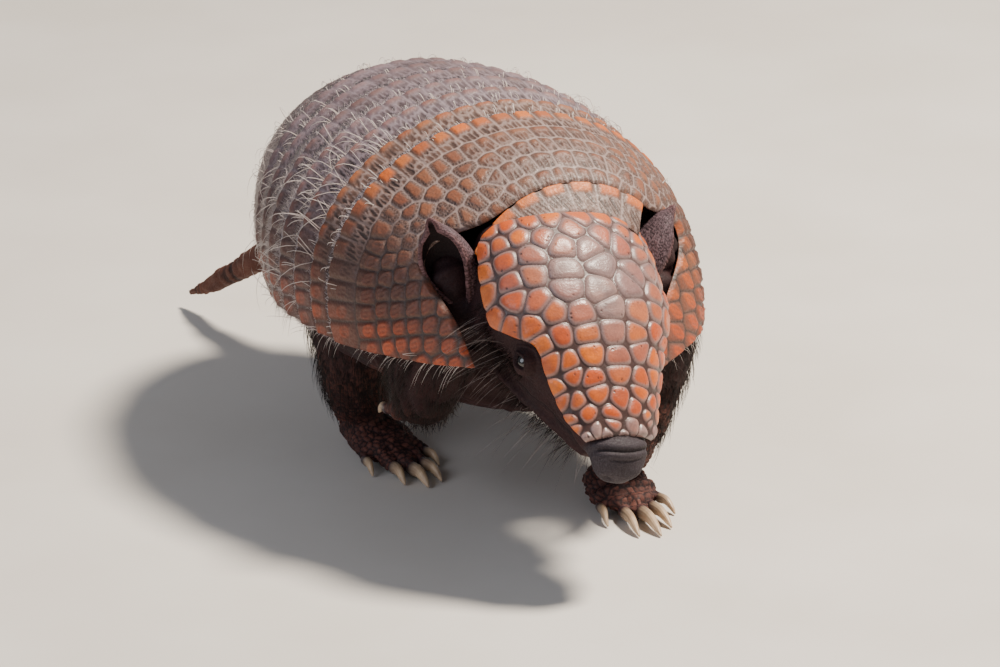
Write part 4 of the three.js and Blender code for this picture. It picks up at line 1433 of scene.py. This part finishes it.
def finish_shader(tree, shader, colour, rough=None, relief=None):
    """Joins a material's colour to its shader, with a changing roughness and fine relief if it has them.

    rough is a 0 to 1 socket and the roughness at its two ends. relief is a height socket, its depth in
    millimetres and its strength.
    """
    tree.links.new(colour, shader.inputs["Base Color"])
    if rough:
        source, low, high = rough
        spread = add(tree, "ShaderNodeMapRange", {"To Min": low, "To Max": high}, {"Value": source})
        tree.links.new(spread.outputs[0], shader.inputs["Roughness"])
    if relief:
        height, depth, strength = relief
        values = {"Strength": strength, "Distance": depth * MM}
        dents = add(tree, "ShaderNodeBump", values, {"Height": height})
        tree.links.new(dents.outputs[0], shader.inputs["Normal"])


def head_horn():
    """Keratin over bone, worn smooth: orange pillows with pale rims, and a grey crown that takes a gloss,
    with a painted highlight that pales its top.
    """
    material, tree, shader = new_material("Keratin, worn head scutes")
    orange, rim, groove = marks_of(tree, "Scutes")[:3]
    grey, crown, tone = marks_of(tree, "Places")[:3]
    blotch, fine = speckle(tree, 4.0), speckle(tree, 0.5)
    # The paler ground on the crown is painted highlight.
    base = painted(tree, "#70504C", [("#8C7676", crown), ("#563A36", times(tree, blotch, 0.5))])
    glow = painted(tree, "#C85010", [("#DC721C", tone), ("#9E3C0C", times(tree, blotch, 0.5))])
    ash = painted(tree, "#8A7474", [("#A08078", tone), ("#64565A", times(tree, blotch, 0.7))])
    colour = painted(tree, base, [
        (ash, times(tree, grey, 0.9)),
        (glow, orange),
        ("#A68A86", times(tree, rim, 0.35)),
        ("#2E1C1A", times(tree, groove, 0.9)),
        ("#4E342E", times(tree, fine, 0.2)),
    ])
    finish_shader(tree, shader, colour, (blotch, 0.3, 0.5), (fine, 0.12, 0.4))
    shader.inputs["IOR"].default_value = KERATIN_IOR
    return material


def body_horn(name, ground, worn, net):
    """Keratin over bone, unworn: orange ends and middles in a pale net, deep orange low on the flanks, and
    flanks darkened partly by their own brown and partly by painted shade.
    """
    material, tree, shader = new_material(name)
    orange, pale, pit = marks_of(tree, "Scutes")[:3]
    flank, red, tone = marks_of(tree, "Places")[:3]
    blotch, fine = speckle(tree, 9.0), speckle(tree, 0.6)
    # The flank mark darkens the ground and the ochre: partly the flanks' own brown, partly painted shade.
    base = painted(tree, ground, [(worn, tone), ("#3C160A", times(tree, flank, 0.85)),
                                  ("#40302C", times(tree, blotch, 0.5))])
    ochre = painted(tree, "#C25C1C", [("#D67428", tone), ("#7A2E0A", flank), ("#B0481A", red)])
    colour = painted(tree, base, [
        (ochre, orange),
        (net, times(tree, pale, 0.75)),
        ("#241A1C", times(tree, pit, 0.8)),
        ("#3A2A26", times(tree, fine, 0.25)),
    ])
    finish_shader(tree, shader, colour, (fine, 0.45, 0.68), (fine, 0.25, 0.45))
    shader.inputs["IOR"].default_value = KERATIN_IOR
    return material


def shoulder_horn():
    """The shoulders' scutes: brown, in a mauve net."""
    return body_horn("Keratin, pitted shoulder scutes", "#64493F", "#745446", "#A08C88")


def rump_horn():
    """The bands' and the rump's scutes: greyer, dulled by the hair that grows between them."""
    return body_horn("Keratin, grey rump scutes", "#6C5E66", "#7A6A72", "#968890")


def hair_horn(name, root, tip, old):
    """Hair: darker at the root, lighter and drier at the tip."""
    material, tree, shader = new_material(name)
    t, tone = marks_of(tree, "Hair")[:2]
    colour = painted(tree, root, [(tip, times(tree, t, 1.1)), (old, times(tree, tone, 0.6))])
    finish_shader(tree, shader, colour)
    shader.inputs["Roughness"].default_value = 0.55
    shader.inputs["Specular IOR Level"].default_value = 0.3
    return material


def fuzz_hair():
    """Short coat hair, grey mauve with pale ends, which dulls the orange under it."""
    return hair_horn("Hair, short grey coat", "#8A7A80", "#E8DCDE", "#A89A9E")


def white_hair():
    """Long coat bristles, white and a little translucent looking, yellowed at the root."""
    return hair_horn("Hair, long white bristles", "#B09C92", "#F2ECE8", "#C8BCB8")


def dark_hair():
    """Leg and chin hair, black brown and coarse."""
    return hair_horn("Hair, dark and coarse", "#100808", "#2A1814", "#1A0E0C")


def whisker_hair():
    """Whiskers, dark at the root and mostly pale at the tip."""
    return hair_horn("Hair, stiff whiskers", "#241A1C", "#4A3C3E", "#B8ACA8")


def hide():
    """Bare skin: dark purple and matt on the neck, reddish scales on the legs, slate on the nose; painted
    shade in hollows, painted highlight on raised tops.
    """
    material, tree, shader = new_material("Skin, bare and scaly")
    # Painted shade in the skin's hollows and painted highlight on its raised tops.
    dark, bright = marks_of(tree, "ReliefShading")[:2]
    nose, scaly, tail = marks_of(tree, "Zones")[:3]
    ear, rim, hollow = marks_of(tree, "Ears")[:3]
    blotch, fine = speckle(tree, 7.0), speckle(tree, 0.45)
    scales = painted(tree, "#3E2422", [("#70443A", bright), ("#2C1C1E", times(tree, blotch, 0.5))])
    tail_skin = painted(tree, "#4A2A22", [("#633C30", blotch)])
    pad = painted(tree, "#2E282E", [("#4A444C", bright), ("#383238", times(tree, blotch, 0.5))])
    ears = painted(tree, "#3C2C34", [
        ("#6E5A62", bright),
        ("#7A4842", times(tree, rim, 0.35)),
        ("#180C10", hollow),
    ])
    colour = painted(tree, "#200E12", [
        ("#321618", times(tree, blotch, 0.7)),
        (scales, scaly),
        (tail_skin, tail),
        (pad, nose),
        (ears, ear),
        # painted shade in creases, grooves and nostrils
        ("#160E12", times(tree, dark, 0.85)),
        ("#2A1818", times(tree, fine, 0.2)),
    ])
    finish_shader(tree, shader, colour, (fine, 0.62, 0.85), (fine, 0.2, 0.5))
    shader.inputs["Specular IOR Level"].default_value = 0.3
    return material


def eye_gloss():
    """Cast glass eye: almost black brown, wet and clear on top."""
    material, tree, shader = new_material("Glass, dark eye")
    finish_shader(tree, shader, painted(tree, "#070404", [("#120A08", speckle(tree, 1.2))]))
    shader.inputs["Roughness"].default_value = 0.08
    shader.inputs["Coat Weight"].default_value = 1.0
    shader.inputs["Coat Roughness"].default_value = 0.03
    return material


def claw_horn():
    """Claw horn: dark purple at the root, cream towards the tip, with fine lines along it."""
    material, tree, shader = new_material("Horn, claws")
    t, turn = marks_of(tree, "Grow")[:2]
    turns = times(tree, turn, 2 * math.pi * 14)
    lines = add(tree, "ShaderNodeMath", links={0: turns}, operation="SINE")
    lines = add(tree, "ShaderNodeMapRange", {"From Min": -1.0}, {"Value": lines.outputs[0]}).outputs[0]
    blotch = speckle(tree, 2.5)
    root = add(tree, "ShaderNodeMapRange", {"From Min": 0.6, "From Max": 0.2}, {"Value": t}).outputs[0]
    colour = painted(tree, "#C8AA8A", [
        ("#E0CCAC", times(tree, lines, 0.5)),
        ("#8A6A52", times(tree, blotch, 0.5)),
        ("#3A282C", root),
    ])
    finish_shader(tree, shader, colour, relief=(lines, 0.12, 0.4))
    shader.inputs["Roughness"].default_value = 0.38
    shader.inputs["IOR"].default_value = KERATIN_IOR
    return material


# ---- stage ----
def make_stage(settings):
    """A pale floor, soft light from the animal's left, and the camera ahead and to its right."""
    scene = bpy.context.scene
    mesh = bpy.data.meshes.new("floor")
    half = 6.0
    corners = [(x * half, y * half, 0) for x, y in ((-1, -1), (1, -1), (1, 1), (-1, 1))]
    mesh.from_pydata(corners, [], [(0, 1, 2, 3)])
    floor = bpy.data.objects.new("floor", mesh)
    scene.collection.objects.link(floor)
    floor.data.materials.append(floor_card())

    world = bpy.data.worlds.new("soft room")
    world.use_nodes = True
    sky = world.node_tree.nodes["Background"]
    sky.inputs["Color"].default_value = linear("#E8ECF2")
    sky.inputs["Strength"].default_value = settings.room_light
    scene.world = world

    azimuth, elevation = settings.azimuth, settings.elevation
    back = Vector((math.sin(azimuth) * math.cos(elevation), -math.cos(azimuth) * math.cos(elevation),
                   math.sin(elevation)))
    target = Vector(to_frame(CAMERA_TARGET))
    right = (-back).cross(Vector((0, 0, 1))).normalized()
    # Each light: its name, where it stands from the target (right, up, near the camera), size, watts, colour.
    lights = (("key light", (0.85, 1.6, -0.1), 0.35, settings.key_light, "#FFF3E2"),
              ("fill light", (-1.4, 0.9, 1.2), 1.4, settings.key_light * 0.15, "#EEF3FF"))
    for name, (across, up, near), size, power, colour in lights:
        lamp = bpy.data.lights.new(name, "AREA")
        lamp.shape, lamp.size, lamp.energy = "DISK", size, power
        lamp.color = linear(colour)[:3]
        made = bpy.data.objects.new(name, lamp)
        level = Vector((back.x, back.y, 0)).normalized()
        made.location = target + right * across + Vector((0, 0, up)) + level * near
        made.rotation_euler = (target - made.location).to_track_quat("-Z", "Y").to_euler()
        scene.collection.objects.link(made)

    camera = bpy.data.cameras.new("camera")
    camera.lens, camera.sensor_width = settings.lens, SENSOR
    width, height = IMAGE
    camera.shift_x = 0.5 - TARGET_IN_IMAGE[0] / width
    camera.shift_y = (TARGET_IN_IMAGE[1] - height / 2) / width
    camera.clip_start, camera.clip_end = 0.1, 50
    viewer = bpy.data.objects.new("camera", camera)
    viewer.location = target + back * settings.distance
    viewer.rotation_euler = (-back).to_track_quat("-Z", "Y").to_euler()
    scene.collection.objects.link(viewer)
    scene.camera = viewer


def floor_card():
    """Matt pale card: even, with the faintest mottle, so that the shadow reads."""
    material, tree, shader = new_material("Card, matt pale")
    finish_shader(tree, shader, painted(tree, "#D9D4CE", [("#D2CCC5", speckle(tree, 60.0))]))
    shader.inputs["Roughness"].default_value = 0.9
    return material


# ---- the add-on ----
SENSOR = 36.0
IMAGE = (1000, 667)
CAMERA_TARGET = (0.0, 0.0, 100.0)  # the shoulders' height, over the animal's own origin
TARGET_IN_IMAGE = (477.0, 259.9)


class ArmourSettings(bpy.types.PropertyGroup):
    """Sizes of the scutes."""

    scute: bpy.props.FloatProperty(
        name="Scute", description="Width of a shoulder or rump scute, mm", default=8.0, min=5)
    band_scute: bpy.props.FloatProperty(
        name="Band scute", description="Width of a band's scute, mm", default=9.8, min=5)
    nape_scute: bpy.props.FloatProperty(
        name="Nape scute", description="Width of a nape scute, mm", default=11.5, min=5)
    head_seed: bpy.props.IntProperty(name="Head pattern", description="Which head shield pattern", default=4)


class CoatSettings(bpy.types.PropertyGroup):
    """How thick and how long the coat is."""

    fuzz: bpy.props.IntProperty(
        name="Fuzz", description="Short hairs tried in each piece", default=48000, min=0)
    fuzz_length: bpy.props.FloatProperty(
        name="Fuzz length", description="Length of a short hair, mm", default=9.0)
    bristles: bpy.props.IntProperty(
        name="Bristles", description="Places with long white bristles", default=620)
    bristle_length: bpy.props.FloatProperty(
        name="Bristle length", description="A long bristle, mm", default=26.0)
    fringe: bpy.props.IntProperty(
        name="Fringe", description="Hairs hanging from the armour's edge", default=260)
    leg_hair: bpy.props.IntProperty(name="Leg hair", description="Hairs on each leg", default=1700)
    leg_length: bpy.props.FloatProperty(
        name="Leg hair length", description="Length of a leg hair, mm", default=13.0)
    chin_hair: bpy.props.IntProperty(name="Chin hair", description="Bristles under the jaw", default=700)
    whiskers: bpy.props.IntProperty(name="Whiskers", description="Long whiskers under the jaw", default=90)


class StageSettings(bpy.types.PropertyGroup):
    """The camera and the lights."""

    azimuth: bpy.props.FloatProperty(
        name="Azimuth", description="Camera's turn round the animal from straight ahead",
        default=math.radians(-25), subtype="ANGLE")
    elevation: bpy.props.FloatProperty(
        name="Elevation", description="Camera's height above the horizon",
        default=math.radians(20), subtype="ANGLE")
    distance: bpy.props.FloatProperty(
        name="Distance", description="From the camera to the shoulders", default=3.2, unit="LENGTH")
    lens: bpy.props.FloatProperty(name="Lens", description="Focal length, mm", default=247.7)
    key_light: bpy.props.FloatProperty(
        name="Key light", description="Power of the key light, W", default=92.0)
    room_light: bpy.props.FloatProperty(
        name="Room light", description="Strength of the room's light", default=0.27)


class ArmadilloSettings(bpy.types.PropertyGroup):
    """All of the armadillo's settings."""

    armour: bpy.props.PointerProperty(type=ArmourSettings, name="Armour", description="Sizes of the scutes")
    coat: bpy.props.PointerProperty(
        type=CoatSettings, name="Coat", description="How thick and long the coat is")
    stage: bpy.props.PointerProperty(
        type=StageSettings, name="Stage", description="The camera and the lights")


class ARMADILLO_OT_head_shield(bpy.types.Operator):
    """Make the head shield's scutes"""

    bl_idname = "armadillo.head_shield"
    bl_label = "Head Shield"

    def execute(self, context):
        make_head_plate(context.scene.armadillo.armour, head_horn())
        return {"FINISHED"}


class ARMADILLO_OT_body_armour(bpy.types.Operator):
    """Make the nape band, the shoulder shield, the movable bands and the pelvic shield"""

    bl_idname = "armadillo.body_armour"
    bl_label = "Body Armour"

    def execute(self, context):
        settings, horn, grey = context.scene.armadillo.armour, shoulder_horn(), rump_horn()
        make_nape_plate(settings, horn)
        make_shoulder_plate(settings, horn)
        for number in range(1, BANDS + 1):
            make_band_plate(settings, horn if number == 1 else grey, number)
        make_pelvic_plate(settings, grey)
        return {"FINISHED"}


class ARMADILLO_OT_skin(bpy.types.Operator):
    """Make the skin of the head, neck, trunk, legs, feet and tail, and the ears"""

    bl_idname = "armadillo.skin"
    bl_label = "Skin and Ears"

    def execute(self, context):
        make_skin(hide())
        return {"FINISHED"}


class ARMADILLO_OT_eyes_and_claws(bpy.types.Operator):
    """Make the eyes and the claws"""

    bl_idname = "armadillo.eyes_and_claws"
    bl_label = "Eyes and Claws"

    def execute(self, context):
        make_eyes(eye_gloss())
        make_claws(claw_horn())
        return {"FINISHED"}


class ARMADILLO_OT_coat(bpy.types.Operator):
    """Make the short coat, the long bristles, the dark hair and the whiskers"""

    bl_idname = "armadillo.coat"
    bl_label = "Coat"

    def execute(self, context):
        settings = context.scene.armadillo.coat
        make_fuzz(settings, fuzz_hair())
        make_bristles(settings, white_hair())
        make_dark_hair(settings, dark_hair())
        make_whiskers(settings, whisker_hair())
        return {"FINISHED"}


class ARMADILLO_OT_stage(bpy.types.Operator):
    """Set up the floor, the lights and the camera"""

    bl_idname = "armadillo.stage"
    bl_label = "Floor, Lights and Camera"

    def execute(self, context):
        make_stage(context.scene.armadillo.stage)
        return {"FINISHED"}


OPERATORS = (ARMADILLO_OT_head_shield, ARMADILLO_OT_body_armour, ARMADILLO_OT_skin,
             ARMADILLO_OT_eyes_and_claws, ARMADILLO_OT_coat, ARMADILLO_OT_stage)


class ARMADILLO_PT_panel(bpy.types.Panel):
    """The armadillo's pieces, in the order in which they are made"""

    bl_label = "Armadillo"
    bl_idname = "ARMADILLO_PT_panel"
    bl_space_type = "VIEW_3D"
    bl_region_type = "UI"
    bl_category = "Armadillo"

    def draw(self, context):
        settings = context.scene.armadillo
        for group in (settings.armour, settings.coat, settings.stage):
            box = self.layout.box()
            for key in group.__annotations__:
                box.prop(group, key)
        for operator in OPERATORS:
            self.layout.operator(operator.bl_idname)


CLASSES = (ArmourSettings, CoatSettings, StageSettings, ArmadilloSettings, *OPERATORS, ARMADILLO_PT_panel)


def register():
    """Adds the classes and the scene's settings."""
    for cls in CLASSES:
        bpy.utils.register_class(cls)
    bpy.types.Scene.armadillo = bpy.props.PointerProperty(type=ArmadilloSettings)


def unregister():
    """Takes them away again."""
    del bpy.types.Scene.armadillo
    for cls in reversed(CLASSES):
        bpy.utils.unregister_class(cls)


def main():
    """Makes every piece in order."""
    register()
    for operator in OPERATORS:
        group, name = operator.bl_idname.split(".")
        getattr(getattr(bpy.ops, group), name)()


if __name__ == "__main__":
    main()
